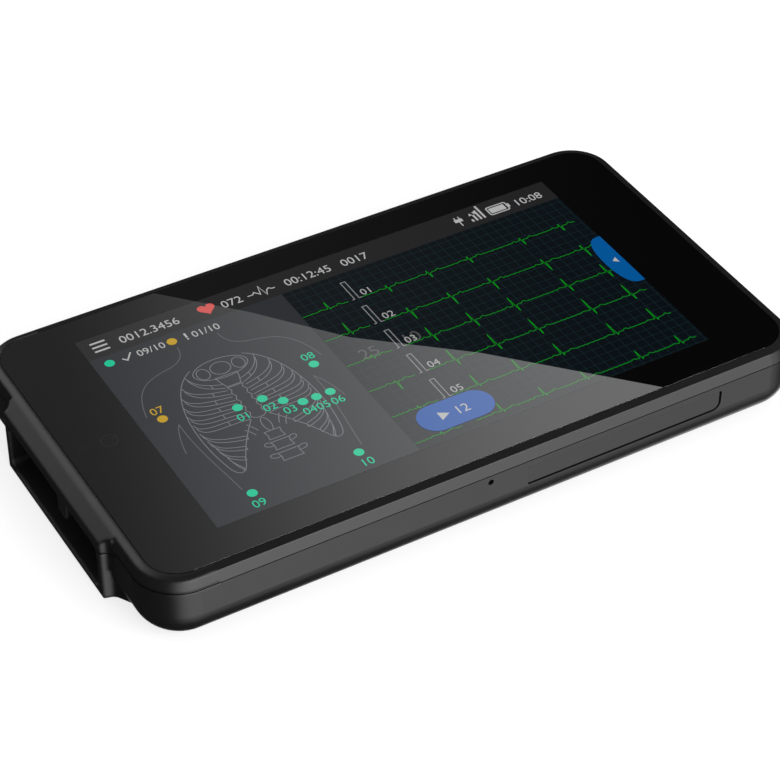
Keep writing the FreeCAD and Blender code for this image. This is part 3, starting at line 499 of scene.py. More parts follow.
def bare_tree(owner):
    """Emptied node tree of a material or a world."""
    owner.use_nodes = True
    owner.node_tree.nodes.clear()
    return owner.node_tree


def moulded(name, base, roughness, grain=0.3 * MM, depth=0.01 * MM, rounding=None, shade=None, **settings):
    """Moulded plastic or rubber: grain in the bump, a faint cloud in the colour and the polish, edges
    that shine as if rounded by a radius, and painted black shade without shine where the shade's mask is one."""
    material, tree, shader = new_material(name, **settings)
    cloud, spread, black = 0.08, 0.1, (0.001, 0.001, 0.001)
    grained = effect(tree, "moulded_grain", {"Grain size": grain})
    darker, lighter = ([min(c * share, 1) for c in base] for share in (1 - cloud, 1 + cloud))
    color = mix(tree, grained["Shade"], darker, lighter)
    # Painted shade: where the mask is one the colour turns black and the shine drops, standing in for shadow
    # in a gap.
    if shade:
        mask = shade(tree)
        color = mix(tree, mask, color, black)
        feed(tree, shader, specular_ior_level=calc(tree, "MULTIPLY_ADD", mask, -0.5, 0.5))
    rough = calc(tree, "MULTIPLY_ADD", grained["Polish"], spread, roughness - spread / 2)
    under = {}
    if rounding:
        under["Normal"] = add(tree, "Bevel", {"Radius": rounding(tree)}, samples=4).outputs[0]
    normal = relief(tree, grained["Height"], depth, 1.0, **under)
    feed(tree, shader, base_color=color, roughness=rough, normal=normal)
    return material


def sheet_metal(name, base, roughness, line=0.2 * MM, depth=0.004 * MM):
    """Rolled or plated metal with faint drawn lines and stains."""
    material, tree, shader = new_material(name, metallic=1.0)
    stained, spread = 0.82, 0.2
    brushed = effect(tree, "brushed_lines", {"Line size": line})
    color = mix(tree, brushed["Shade"], [c * stained for c in base], base)
    rough = calc(tree, "MULTIPLY_ADD", brushed["Line"], spread, roughness - spread / 2)
    normal = relief(tree, brushed["Line"], depth, 0.6)
    feed(tree, shader, base_color=color, roughness=rough, normal=normal)
    return material


# Polished clear coat over a print that doesn't shine itself.
UNDER_GLASS = {"specular_ior_level": 0.0, "coat_weight": 1.0, "coat_roughness": 0.0}


def pixelled(tree, color):
    """A colour through the display's pixels."""
    pitch = bpy.context.scene.monitor_screen.pixel_pitch
    return effect(tree, "display_pixels", {"Color": color, "Pitch": pitch})["Color"]


def lit_ink(name, color, strength=1.0):
    """Lit part of the screen: its own colour through the display's pixels."""
    material, tree, shader = new_material(name, roughness=0.6, emission_strength=strength, **UNDER_GLASS)
    unlit_share = 0.04
    glow = pixelled(tree, color)
    feed(tree, shader, emission_color=glow, base_color=vector_calc(tree, "SCALE", glow, unlit_share))
    return material


def finish_nodes(material, *names):
    """Puts a material on CAD nodes."""
    for name in names:
        data = NODES[name].data
        data.materials.clear()
        data.materials.append(material)


# ------------------------------------------------------------------------------ screen places

LAYER_STEP = 0.015 * MM
LAYER_THICKNESS = 0.011 * MM
LAYER_GAP = 0.003 * MM
PANE_TOP = GLASS_HIGH.z - 5 * LAYER_STEP


def layer(number):
    """Low and high of the numbered layer of the screen film. The film is the front's top tenth of a
    millimetre, and its layers lie one above another on the pane."""
    low = PANE_TOP + LAYER_STEP * number + LAYER_GAP
    return low, low + LAYER_THICKNESS


def on_screen(points):
    """Frame X and Y of screen places in millimetres, counted right and down from the lit area's far
    left corner."""
    screen = bpy.context.scene.monitor_screen
    points = np.asarray(points, float)
    x = points[..., 0] * MM - screen.lit_width / 2 + screen.shift_x
    y = screen.lit_height / 2 - points[..., 1] * MM + screen.shift_y
    return np.stack([x, y], -1)


def lit_outline(margin, radius):
    """Outline of the lit area with a margin round it."""
    screen = bpy.context.scene.monitor_screen
    halves = screen.lit_width / 2 + margin, screen.lit_height / 2 + margin
    return rounded_rectangle(*halves, radius, centre=(screen.shift_x, screen.shift_y))


def screen_plate(outline, number):
    """Plate inside an outline given in screen places, in a layer."""
    return plate([on_screen(outline)], *layer(number))


def screen_line(path, width, number, closed=False):
    """Ribbon along a path given in screen places, in a layer."""
    return ribbon(on_screen(path), width, *layer(number), closed=closed)


def screen_digits(text, height, right, down, number, centred=False):
    """Digits whose base line's left or middle is a screen place, in a layer."""
    return digits(text, height, on_screen((right, down)), *layer(number), centred=centred)


# ------------------------------------------------------------------------------ operators


class MONITOR_OT_stage(bpy.types.Operator):
    """Sets the camera, the floor, the lights and the world"""

    bl_idname = "monitor.stage"
    bl_label = "Stage"

    WHITE = (1.0, 1.0, 1.0)
    SENSOR_WIDTH = 36
    CLIP = (0.01, 20)
    FLOOR_DROP = -0.05 * MM
    FLOOR_GLOW = 0.72
    ROOM_DARK = 0.02
    KEY_PLACE = (0.3, -1.2, 0.8)
    KEY_SIZE = (1.2, 0.7)
    # Windows: the angles in degrees at which each starts, is full, ends and is gone, across and upright.
    FRONT = (-47, -8, 8, 75), (-62, -40, 22, 50)
    BACK = (-10, 8, 12, 48), (-4, 14, 48, 72)
    SIDE = (85, 110, 165, 178), (-68, -50, -22, -6)
    # Cards that the glass mirrors: distance past the softbox, the ends of the glow along its fade, its
    # strengths there, and the corners in metres to the right and up.
    CARDS = {
        "softbox": (0.0, (0.165, -0.117), (0.28, 2.54), (
            (0.1123, -0.0358), (0.0654, -0.0267), (0.019, -0.0152), (-0.0413, -0.0082), (-0.1285, 0.008),
            (-0.36, 0.052), (-0.36, 0.12), (0.26, 0.16), (0.26, -0.0663),
        )),
        "dark_card": (0.02, (0.1, -0.14), (0.12, 0.01), (
            (-0.5, -0.34), (0.27, -0.34), (0.27, 0.26), (-0.5, 0.26),
        )),
    }
    FADE_TILT = 0.185

    def execute(self, context):
        stage = context.scene.monitor_stage
        self.add_camera(context.scene, stage)
        self.add_floor(stage)
        self.add_world(context.scene, stage)
        self.add_key_light(stage.key_power)
        self.add_cards(stage)
        context.scene.view_settings.view_transform = "Standard"
        return {"FINISHED"}

    def sight(self, stage):
        """Rightwards and back along the camera's azimuth and elevation."""
        turn, rise = math.radians(stage.camera_azimuth), math.radians(stage.camera_elevation)
        right = Vector((math.cos(turn), math.sin(turn), 0))
        back = Vector((math.sin(turn) * math.cos(rise), -math.cos(turn) * math.cos(rise), math.sin(rise)))
        return right, back

    def add_camera(self, scene, stage):
        """Camera turned by azimuth, elevation and roll."""
        right, back = self.sight(stage)
        up = back.cross(right)
        roll = math.radians(stage.camera_roll)
        tilted_right = right * math.cos(roll) + up * math.sin(roll)
        tilted_up = up * math.cos(roll) - right * math.sin(roll)
        data = bpy.data.cameras.new("camera")
        data.lens = stage.camera_lens
        data.sensor_width = self.SENSOR_WIDTH
        data.clip_start, data.clip_end = self.CLIP
        camera = add_object("camera", data)
        turned = Matrix((tilted_right, tilted_up, back)).transposed().to_4x4()
        camera.matrix_world = Matrix.Translation(Vector(stage.camera_place)) @ turned
        scene.camera = camera

    def add_sheet(self, name, corners):
        """One flat face that isn't part of the object, and the emptied tree of its material."""
        mesh = bpy.data.meshes.new(name)
        mesh.from_pydata(corners, [], [tuple(range(len(corners)))])
        material = bpy.data.materials.new(name + "_glow")
        mesh.materials.append(material)
        sheet = add_object(name, mesh)
        return sheet, bare_tree(material)

    def seen_by_camera(self, tree):
        """Light path's outputs, and one where the camera looks straight or through glass."""
        path = add(tree, "LightPath").outputs
        return path, calc(tree, "MAXIMUM", path["Is Camera Ray"], path["Is Transmission Ray"])

    def add_floor(self, stage):
        """Floor that shows white to the camera and keeps a soft shadow."""
        half = stage.floor_size / 2
        signs = ((-1, -1), (1, -1), (1, 1), (-1, 1))
        floor, tree = self.add_sheet("floor", [(half * x, half * y, self.FLOOR_DROP) for x, y in signs])
        floor.visible_glossy = False
        matt = add(tree, "BsdfDiffuse", {"Color": stage.floor_color})
        seen = self.seen_by_camera(tree)[1]
        glow = add(tree, "Emission", {"Color": self.WHITE, "Strength": times(tree, seen, self.FLOOR_GLOW)})
        both = add(tree, "AddShader", {0: matt.outputs[0], 1: glow.outputs[0]})
        add(tree, "OutputMaterial", {"Surface": both.outputs[0]})

    def add_world(self, scene, stage):
        """World that is white to the camera, even on matt surfaces, and a room with soft windows to
        gloss."""
        world = bpy.data.worlds.new("studio")
        tree = bare_tree(world)
        path, seen = self.seen_by_camera(tree)
        even = calc(tree, "MULTIPLY_ADD", seen, 1.0 - stage.ambient, stage.ambient)
        in_gloss = times(tree, path["Is Glossy Ray"], calc(tree, "SUBTRACT", 1.0, seen))
        strength = mix(tree, in_gloss, even, self.room_glow(tree, stage))
        background = add(tree, "Background", {"Color": self.WHITE, "Strength": strength})
        add(tree, "OutputWorld", {"Surface": background.outputs[0]})
        scene.world = world

    def room_glow(self, tree, stage):
        """Glow by direction: the front window fades out to the left, upwards and towards the floor,
        the back window stands behind on the left, and a low one behind on the right."""
        parts = add(tree, "SeparateXYZ", {0: add(tree, "TexCoord").outputs["Generated"]}).outputs
        rightwards = calc(tree, "ARCTAN2", parts[0], times(tree, parts[1], -1.0))
        leftwards = calc(tree, "ARCTAN2", times(tree, parts[0], -1.0), parts[1])
        height = calc(tree, "ARCSINE", parts[2])
        dimmed = self.fade(tree, height, -45, 5, 0.7, 1.0)
        glow = self.ROOM_DARK
        for turn, (across, upright), strength in (
            (rightwards, self.FRONT, times(tree, dimmed, stage.front_glow)),
            (rightwards, self.SIDE, stage.side_glow),
            (leftwards, self.BACK, stage.back_glow),
        ):
            window = times(tree, self.window(tree, turn, *across), self.window(tree, height, *upright))
            glow = calc(tree, "MULTIPLY_ADD", window, strength, glow)
        return glow

    def fade(self, tree, angle, start, end, low=0.0, high=1.0):
        """Smooth step of an angle between two limits in degrees."""
        return ramp(tree, angle, math.radians(start), math.radians(end), low, high)

    def window(self, tree, angle, start, full, end, gone):
        """One between two angles, fading smoothly to nothing on both sides."""
        return times(tree, self.fade(tree, angle, start, full), self.fade(tree, angle, gone, end))

    def add_key_light(self, power):
        """Rectangular lamp in front, aimed at the casing."""
        data = bpy.data.lights.new("key_light", "AREA")
        data.shape = "RECTANGLE"
        data.size, data.size_y = self.KEY_SIZE
        data.energy = power
        lamp = add_object("key_light", data)
        turned = Vector(self.KEY_PLACE).normalized().to_track_quat("Z", "Y").to_matrix().to_4x4()
        lamp.matrix_world = Matrix.Translation(self.KEY_PLACE) @ turned
        lamp.visible_camera = False

    def add_cards(self, stage):
        """Softbox and dark card where the camera's view is mirrored in the glass: the softbox fades
        to the left and the card holds the dark part of the reflection."""
        right, back = self.sight(stage)
        across, normal = -right, Vector((-back.x, -back.y, back.z))
        upwards = normal.cross(across)
        top = Vector((0, 0, GLASS_HIGH.z))
        fade = across + upwards * self.FADE_TILT
        for name, (further, ends, strengths, outline) in self.CARDS.items():
            distance = stage.softbox_distance + further
            grow = distance / stage.softbox_distance
            corners = [top + normal * distance + (across * a + upwards * b) * grow for a, b in outline]
            card, tree = self.add_sheet(name, corners)
            card.visible_camera = card.visible_diffuse = card.visible_shadow = False
            along = vector_calc(tree, "DOT_PRODUCT", object_place(tree), fade)
            share = ramp(tree, along, *(fade.dot(top) + end for end in ends), *strengths)
            glow = add(tree, "Emission", {"Color": self.WHITE, "Strength": share})
            add(tree, "OutputMaterial", {"Surface": glow.outputs[0]})


class MONITOR_OT_casing(bpy.types.Operator):
    """Finishes the housings, the port cover, the power button and the reset plunger"""

    bl_idname = "monitor.casing"
    bl_label = "Casing"

    HOOD_END = -60 * MM
    DIP_START, DIP_END = 23.15 * MM, 25.15 * MM
    LIP_CLEAR, LIP_THICK, LIP_INSET, LIP_DEPTH = 0.01 * MM, 0.07 * MM, 0.005 * MM, 0.8 * MM

    def execute(self, context):
        casing = context.scene.monitor_casing
        # The shell's shade mask paints the shadow in the seam between the front and rear housings.
        shell = moulded(
            "dark_shell", casing.shell_color, casing.shell_roughness, casing.grain_size, casing.grain_depth,
            rounding=self.hood_rounding, shade=self.painted_seam_shade,
        )
        soft = moulded("soft_cover", casing.cover_color, 0.32, grain=0.2 * MM, depth=0.004 * MM)
        satin = moulded("satin_button", casing.button_color, 0.4, depth=0.006 * MM)
        black = moulded("black_moulding", tone(30, 30, 31), 0.42, grain=0.2 * MM, depth=0.006 * MM)
        finish_nodes(shell, "front_housing", "rear_housing")
        finish_nodes(soft, "port_cover", "cover_strap")
        finish_nodes(satin, "power_button")
        finish_nodes(black, "power_plunger", "power_switch", "reset_plunger", "reset_switch")
        finish_nodes(black, "display_connector", "battery_connector", "connector_insulator")
        finish_nodes(black, "usb_tongue", "speaker")
        build_piece("port_lip", self.port_lip(), soft)
        return {"FINISHED"}

    def hood_rounding(self, tree):
        """Radius of the rounded shine: only the hood's end of the casing has it."""
        radius = bpy.context.scene.monitor_casing.edge_rounding
        return times(tree, calc(tree, "LESS_THAN", axes(tree)[0], self.HOOD_END), radius)

    def painted_seam_shade(self, tree):
        """Mask of the painted shade along the line between the housings, a black band that stands for the
        shadow in the gap, which dips in front of the hood at the left end.
        """
        casing = bpy.context.scene.monitor_casing
        x, y, z = axes(tree)
        heights = casing.hood_parting, casing.parting_height
        dip = ramp(tree, calc(tree, "ABSOLUTE", y), self.DIP_START, self.DIP_END, *heights, "LINEAR")
        height = mix(tree, calc(tree, "GREATER_THAN", x, 0.0), dip, casing.parting_height)
        away = calc(tree, "ABSOLUTE", calc(tree, "SUBTRACT", z, height))
        return calc(tree, "LESS_THAN", away, casing.parting_width / 2)

    def port_lip(self):
        """Thin lip of the housing that closes the gap along the cover's upper and hinged edges: two
        boxes side by side."""
        low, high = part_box("port_cover")
        front, edge_z = low.y + self.LIP_INSET, high.z + self.LIP_CLEAR
        back, edge_x = front + self.LIP_DEPTH, low.x - self.LIP_CLEAR
        outer = edge_x - self.LIP_THICK
        over = [(outer, front), (high.x, front), (high.x, back), (outer, back)]
        beside = [(outer, front), (edge_x, front), (edge_x, back), (outer, back)]
        return [plate([over], edge_z, edge_z + self.LIP_THICK), plate([beside], low.z, edge_z)]


class MONITOR_OT_glass(bpy.types.Operator):
    """Finishes the cover glass, its tape, the camera and the light sensor, and adds the border print"""

    bl_idname = "monitor.glass"
    bl_label = "Cover glass"

    CHAMFER = 0.05 * MM
    PRINT_MARGIN, PRINT_CORNER = 0.17 * MM, 0.25 * MM
    CAMERA_RADIUS, SENSOR_RADIUS = 1.75 * MM, 0.85 * MM
    # Tones of the small windows from the middle (0) to the rim (1).
    RINGS = (
        (0.0, tone(3, 3, 6)), (0.34, tone(4, 5, 12)), (0.4, tone(20, 19, 27)), (0.52, tone(9, 9, 11)),
        (0.86, tone(8, 8, 9)), (0.95, tone(34, 34, 36)),
    )

    def execute(self, context):
        casing = context.scene.monitor_casing
        corner = context.scene.monitor_screen.glass_corner
        glass, _tree, _shader = new_material(
            "smoked_glass", base_color=(0.05, 0.055, 0.06), roughness=0.0, transmission_weight=1.0, ior=1.5
        )
        half_x, half_y, chamfer = GLASS_HIGH.x, GLASS_HIGH.y, self.CHAMFER
        levels = (
            (half_x - chamfer, half_y - chamfer, GLASS_LOW.z),
            (half_x, half_y, GLASS_LOW.z + chamfer),
            (half_x, half_y, PANE_TOP - chamfer),
            (half_x - chamfer, half_y - chamfer, PANE_TOP),
        )
        pane = build_piece("front_glass", [layered_slab(levels, corner)], glass)
        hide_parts("cover_glass")
        finish_nodes(moulded("black_foam", tone(9, 9, 10), 0.8, grain=0.15 * MM), "glass_tape")
        finish_nodes(self.lens_glass(), "front_camera", "light_sensor")
        ink = moulded("border_ink", casing.print_color, 0.7, **UNDER_GLASS)
        windows = (
            ("camera_window", (CAMERA_LOW + CAMERA_HIGH) / 2, self.CAMERA_RADIUS),
            ("sensor_window", (SENSOR_LOW + SENSOR_HIGH) / 2, self.SENSOR_RADIUS),
        )
        discs = [oval(middle.xy, radius) for _name, middle, radius in windows]
        outlines = [rounded_rectangle(half_x, half_y, corner, steps=16)]
        outlines += [lit_outline(self.PRINT_MARGIN, self.PRINT_CORNER), *discs]
        build_piece("glass_print", [plate(outlines, *layer(0))], ink)
        for (name, middle, radius), outline in zip(windows, discs):
            dark = self.window_ink(name, middle, radius)
            build_piece(name, [plate([outline], *layer(0))], dark)
        return {"FINISHED"}

    def lens_glass(self):
        """Dark glass with a faint tinted cloud."""
        material, tree, shader = new_material("lens_glass", roughness=0.04, coat_weight=1.0)
        cloud = noise(tree, vector_calc(tree, "MULTIPLY", object_place(tree), (1.0, 1.0, 0.0)), 900.0, 1.0)
        feed(tree, shader, base_color=mix(tree, cloud, tone(8, 9, 16), tone(22, 20, 34)))
        return material

    def window_ink(self, name, middle, radius):
        """Dark window whose rings of tone run round its middle."""
        material, tree, shader = new_material(name + "_ink", roughness=0.5, **UNDER_GLASS)
        placed = add(tree, "Mapping", {"Vector": object_place(tree), "Location": (-middle.x, -middle.y, 0.0)})
        flat = vector_calc(tree, "MULTIPLY", placed.outputs[0], (1.0, 1.0, 0.0))
        reach = add(tree, "VectorMath", {0: flat}, operation="LENGTH").outputs["Value"]
        rings = add(tree, "ValToRGB", {"Fac": calc(tree, "DIVIDE", reach, radius)})
        elements = rings.color_ramp.elements
        while len(elements) < len(self.RINGS):
            elements.new(0.5)
        for element, (position, color) in zip(elements, self.RINGS):
            element.position = position
            element.color = (*color, 1)
        feed(tree, shader, base_color=rings.outputs[0])
        return material


class MONITOR_OT_inside(bpy.types.Operator):
    """Finishes the board, the screening cans, the sockets, the battery and the other inner parts"""

    bl_idname = "monitor.inside"
    bl_label = "Inner parts"

    PADS, PAD_PITCH = 12, 0.5 * MM
    PAD_HALF_WIDTH, PAD_HALF_LENGTH, PAD_CORNER = 0.14 * MM, 2.0 * MM, 0.03 * MM
    PAD_INSET, PAD_THICKNESS = 2.5 * MM, 0.02 * MM
    # Edge of the display cell that carries contact lines, and share of the battery under the tape.
    CELL_EDGE, TAPED_SHARE = 1.6 * MM, 0.09

    def execute(self, context):
        tin = sheet_metal("tinned_sheet", (0.62, 0.61, 0.58), 0.34)
        nickel = sheet_metal("nickel_plate", (0.72, 0.7, 0.66), 0.24, line=0.12 * MM)
        gold = sheet_metal("gold_plate", (0.83, 0.62, 0.25), 0.22, line=0.1 * MM)
        dark_steel = sheet_metal("dark_steel", (0.3, 0.3, 0.31), 0.34, line=0.1 * MM)
        finish_nodes(tin, "display_frame", "amplifier_shield", "processor_shield", "cellular_module")
        finish_nodes(nickel, "connector_shell", "usb_shell", "sim_socket", "memory_socket")
        finish_nodes(gold, "connector_contacts")
        finish_nodes(dark_steel, "connector_screws", "housing_screws")
        build_piece("tongue_pads", self.tongue_pads(), gold)
        finish_nodes(self.cell_glass(), "display_cell")
        finish_nodes(moulded("white_film", tone(222, 223, 226), 0.5, grain=0.4 * MM), "backlight_unit")
        finish_nodes(moulded("grey_pad", tone(52, 52, 54), 0.8, grain=0.4 * MM), "battery_adhesive")
        finish_nodes(self.solder_mask(), "main_board")
        finish_nodes(self.battery_foil(), "battery_pack")
        finish_nodes(self.amber_film(), "display_flex", "battery_lead", "antenna_flex")
        return {"FINISHED"}

    def tongue_pads(self):
        """Rows of twelve gold pads on both sides of the USB socket's tongue."""
        middle_x = (TONGUE_LOW.x + TONGUE_HIGH.x) / 2
        pads = []
        for i in range(self.PADS):
            centre = middle_x + (i - (self.PADS - 1) / 2) * self.PAD_PITCH, TONGUE_LOW.y + self.PAD_INSET
            sizes = self.PAD_HALF_WIDTH, self.PAD_HALF_LENGTH, self.PAD_CORNER
            pads.append(rounded_rectangle(*sizes, steps=2, centre=centre))
        above, below, thick = TONGUE_HIGH.z, TONGUE_LOW.z, self.PAD_THICKNESS
        return [plate(pads, above, above + thick), plate(pads, below - thick, below)]

    def striped(self, tree, pitch, share):
        """X of the surface, and one on lines along X that take a share of each pitch along Y."""
        x, y, _z = axes(tree)
        return x, calc(tree, "LESS_THAN", calc(tree, "FRACT", calc(tree, "DIVIDE", y, pitch)), share)

    def cell_glass(self):
        """Dark polished sheets with a faint row of contact lines along the left end."""
        material, tree, shader = new_material("cell_glass", coat_weight=1.0)
        x, line = self.striped(tree, 0.5 * MM, 0.5)
        at_end = calc(tree, "LESS_THAN", x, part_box("display_cell")[0].x + self.CELL_EDGE)
        contacts = times(tree, line, at_end)
        rough = calc(tree, "MULTIPLY_ADD", contacts, 0.2, 0.2)
        feed(tree, shader, base_color=mix(tree, contacts, tone(9, 10, 14), tone(44, 42, 38)), roughness=rough)
        return material

    def solder_mask(self):
        """Green mask with copper tracks that show as lighter cells, and gold pads."""
        material, tree, shader = new_material("solder_mask", coat_weight=0.4)
        cells = {"Vector": object_place(tree), "Scale": 420.0}
        tracks = add(tree, "TexVoronoi", cells, distance="CHEBYCHEV").outputs[0]
        band = calc(tree, "LESS_THAN", calc(tree, "FRACT", times(tree, tracks, 5.0)), 0.35)
        pads = calc(tree, "LESS_THAN", tracks, 0.07)
        green = mix(tree, band, tone(18, 78, 44), tone(36, 112, 62))
        rough = calc(tree, "MULTIPLY_ADD", band, -0.08, 0.36)
        feed(tree, shader, base_color=mix(tree, pads, green, (0.72, 0.5, 0.2)), metallic=pads)
        feed(tree, shader, roughness=rough, normal=relief(tree, band, 0.03 * MM))
        return material

    def battery_foil(self):
        """Laminated foil with faint creases, and an amber tape over one end."""
        material, tree, shader = new_material("battery_foil")
        low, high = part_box("battery_pack")
        crease = noise(tree, object_place(tree), 120.0, 3.0)
        taped = calc(tree, "GREATER_THAN", axes(tree)[0], high.x - (high.x - low.x) * self.TAPED_SHARE)
        foil = mix(tree, crease, (0.42, 0.43, 0.45), (0.6, 0.61, 0.63))
        metallic = calc(tree, "MULTIPLY_ADD", taped, -0.8, 0.8)
        rough = calc(tree, "MULTIPLY_ADD", crease, 0.2, 0.28)
        feed(tree, shader, base_color=mix(tree, taped, foil, (0.5, 0.24, 0.03)), metallic=metallic)
        feed(tree, shader, roughness=rough, normal=relief(tree, crease, 0.1 * MM))
        return material

    def amber_film(self):
        """Amber film with copper lines that show through it."""
        material, tree, shader = new_material("amber_film", coat_weight=0.3)
        _x, line = self.striped(tree, 0.6 * MM, 0.45)
        base = mix(tree, line, tone(150, 92, 24), tone(186, 122, 52))
        cloud = times(tree, noise(tree, object_place(tree), 300.0, 2.0), 0.25)
        rough = calc(tree, "MULTIPLY_ADD", line, -0.1, 0.42)
        feed(tree, shader, base_color=mix(tree, cloud, base, tone(96, 54, 12)))
        feed(tree, shader, roughness=rough, normal=relief(tree, line, 0.02 * MM))
        return material


class MONITOR_OT_display(bpy.types.Operator):
    """Makes the display's image with its status bar, chest panel and chart"""

    bl_idname = "monitor.display"
    bl_label = "Display"

    MARGIN, CORNER = 0.12 * MM, 0.22 * MM
    # A line of the grid each way, from the lit area's left and far edges.
    GRID_START = 84.25 * MM, 10.3 * MM

    def execute(self, context):
        film = plate([lit_outline(self.MARGIN, self.CORNER)], *layer(0))
        build_piece("display_panel", [film], self.panel_material(context.scene.monitor_screen))
        return {"FINISHED"}

    def panel_material(self, screen):
        """Lit areas by place: a status bar along the far edge, the chest panel and the gridded chart."""
        material, tree, shader = new_material(
            "lit_panel", roughness=0.5, emission_strength=1.0, **UNDER_GLASS
        )
        x, y, _z = axes(tree)
        right_of = calc(tree, "SUBTRACT", x, screen.shift_x - screen.lit_width / 2)
        down_from = calc(tree, "SUBTRACT", screen.shift_y + screen.lit_height / 2, y)
        inside, lines = [], []
        sides = zip((right_of, down_from), (screen.lit_width, screen.lit_height), self.GRID_START)
        for distance, size, start in sides:
            inside += [calc(tree, "GREATER_THAN", distance, 0.0), calc(tree, "LESS_THAN", distance, size)]
            from_line = calc(tree, "PINGPONG", calc(tree, "SUBTRACT", distance, start), screen.grid_pitch / 2)
            lines.append(calc(tree, "LESS_THAN", from_line, screen.grid_line / 2))
        lit = times(tree, *inside)
        shown = mix(tree, calc(tree, "MAXIMUM", *lines), screen.chart_color, screen.grid_color)
        for distance, size, color in (
            (right_of, screen.chest_width, screen.chest_color),
            (down_from, screen.status_height, screen.status_color),
        ):
            shown = mix(tree, calc(tree, "LESS_THAN", distance, size), shown, color)
        glow = pixelled(tree, mix(tree, lit, (0.0, 0.0, 0.0), shown))
        feed(tree, shader, emission_color=glow, base_color=mix(tree, lit, tone(6, 6, 7), tone(3, 3, 4)))
        return material


class MONITOR_OT_status_bar(bpy.types.Operator):
    """Makes the status bar's icons and digits and the legend under it"""

    bl_idname = "monitor.status_bar"
    bl_label = "Status bar"

    # Screen places in millimetres. Bars: middle, half width and half height.
    MENU = [(3.95, 2.05 + 1.32 * i, 1.65, 0.24) for i in range(3)]
    PLUG = [
        (87.85, 3.15, 0.95, 0.5), (87.35, 2.3, 0.14, 0.42),
        (88.35, 2.3, 0.14, 0.42), (87.85, 4.35, 0.14, 0.8),
    ]
    ARROWS = [[(90.6, 2.9), (91.4, 2.9), (91.0, 2.0)], [(91.7, 2.0), (92.5, 2.0), (92.1, 2.9)]]
    SIGNAL = [(90.6 + 0.95 * i, 4.6 - 0.62 * i, 0.23, 0.45 + 0.62 * i) for i in range(4)]
    BATTERY = [(97.25, 3.6, 1.85, 0.88), (100.05, 3.6, 0.22, 0.6)]
    BATTERY_RIM = (97.35, 3.6, 2.35, 1.35, 0.45)
    # Text, height as a share of the digits', right and down.
    WORDS = (
        ("0012.3456", 1.0, 8.1, 4.75), ("072", 1.0, 31.0, 4.85), ("00:12:45", 1.0, 45.6, 4.85),
        ("0017", 1.0, 58.9, 4.85), ("10:08", 0.98, 101.3, 4.85),
    )
    LEGEND = (("09/10", 0.86, 9.3, 10.2), ("01/10", 0.86, 21.5, 10.25))
    WARNING, WARNING_DOT = (20.3, 8.85, 0.22, 0.75), ((20.3, 10.05), 0.24, 20)
    TICK = [(6.1, 9.2), (6.9, 10.1), (8.4, 8.1)]
    BEAT = [
        (37.0, 3.9), (38.2, 3.9), (38.7, 3.3), (39.2, 3.9), (39.7, 4.5), (40.3, 1.9), (40.9, 5.2),
        (41.4, 3.9), (42.0, 3.4), (42.6, 3.9), (43.3, 3.9),
    ]
    HEART_PLACE, HEART_SCALE = (27.9, 3.3), 0.118
    RIM_WIDTH, BEAT_WIDTH, TICK_WIDTH = 0.3 * MM, 0.26 * MM, 0.32 * MM

    def execute(self, context):
        screen = context.scene.monitor_screen
        white = lit_ink("white_ink", screen.text_color)
        red = lit_ink("red_ink", screen.heart_color)
        bars = [self.bar(*places) for places in self.MENU + self.PLUG + self.SIGNAL + self.BATTERY]
        icons = [screen_plate(outline, 1) for outline in bars + self.ARROWS]
        icons.append(screen_line(self.bar(*self.BATTERY_RIM), self.RIM_WIDTH, 1, closed=True))
        build_piece("status_icons", icons, white)
        build_piece("status_digits", self.words(self.WORDS), white)
        build_piece("pulse_icon", [screen_line(self.BEAT, self.BEAT_WIDTH, 1)], white)
        build_piece("heart_icon", [screen_plate(self.heart(), 1)], red)
        warning = [screen_plate(outline, 1) for outline in (self.bar(*self.WARNING), oval(*self.WARNING_DOT))]
        legend = [screen_line(self.TICK, self.TICK_WIDTH, 1), *warning, *self.words(self.LEGEND)]
        build_piece("legend_marks", legend, white)
        return {"FINISHED"}

    def words(self, rows):
        """Shells of rows of text."""
        height = bpy.context.scene.monitor_screen.digit_height
        return [screen_digits(text, height * share, right, down, 1) for text, share, right, down in rows]

    def bar(self, right, down, half_width, half_height, radius=0.1):
        """Outline of a small rounded bar about a screen place."""
        return rounded_rectangle(half_width, half_height, radius, steps=4, centre=(right, down))

    def heart(self):
        """Heart curve: 16 sin^3 t across and 13 cos t - 5 cos 2t - 2 cos 3t - cos 4t upwards."""
        turn = np.linspace(0, 2 * math.pi, 72, endpoint=False)
        height = sum(share * np.cos(i * turn) for i, share in ((1, 13), (2, -5), (3, -2), (4, -1)))
        return np.stack([16 * np.sin(turn) ** 3, -height], -1) * self.HEART_SCALE + self.HEART_PLACE


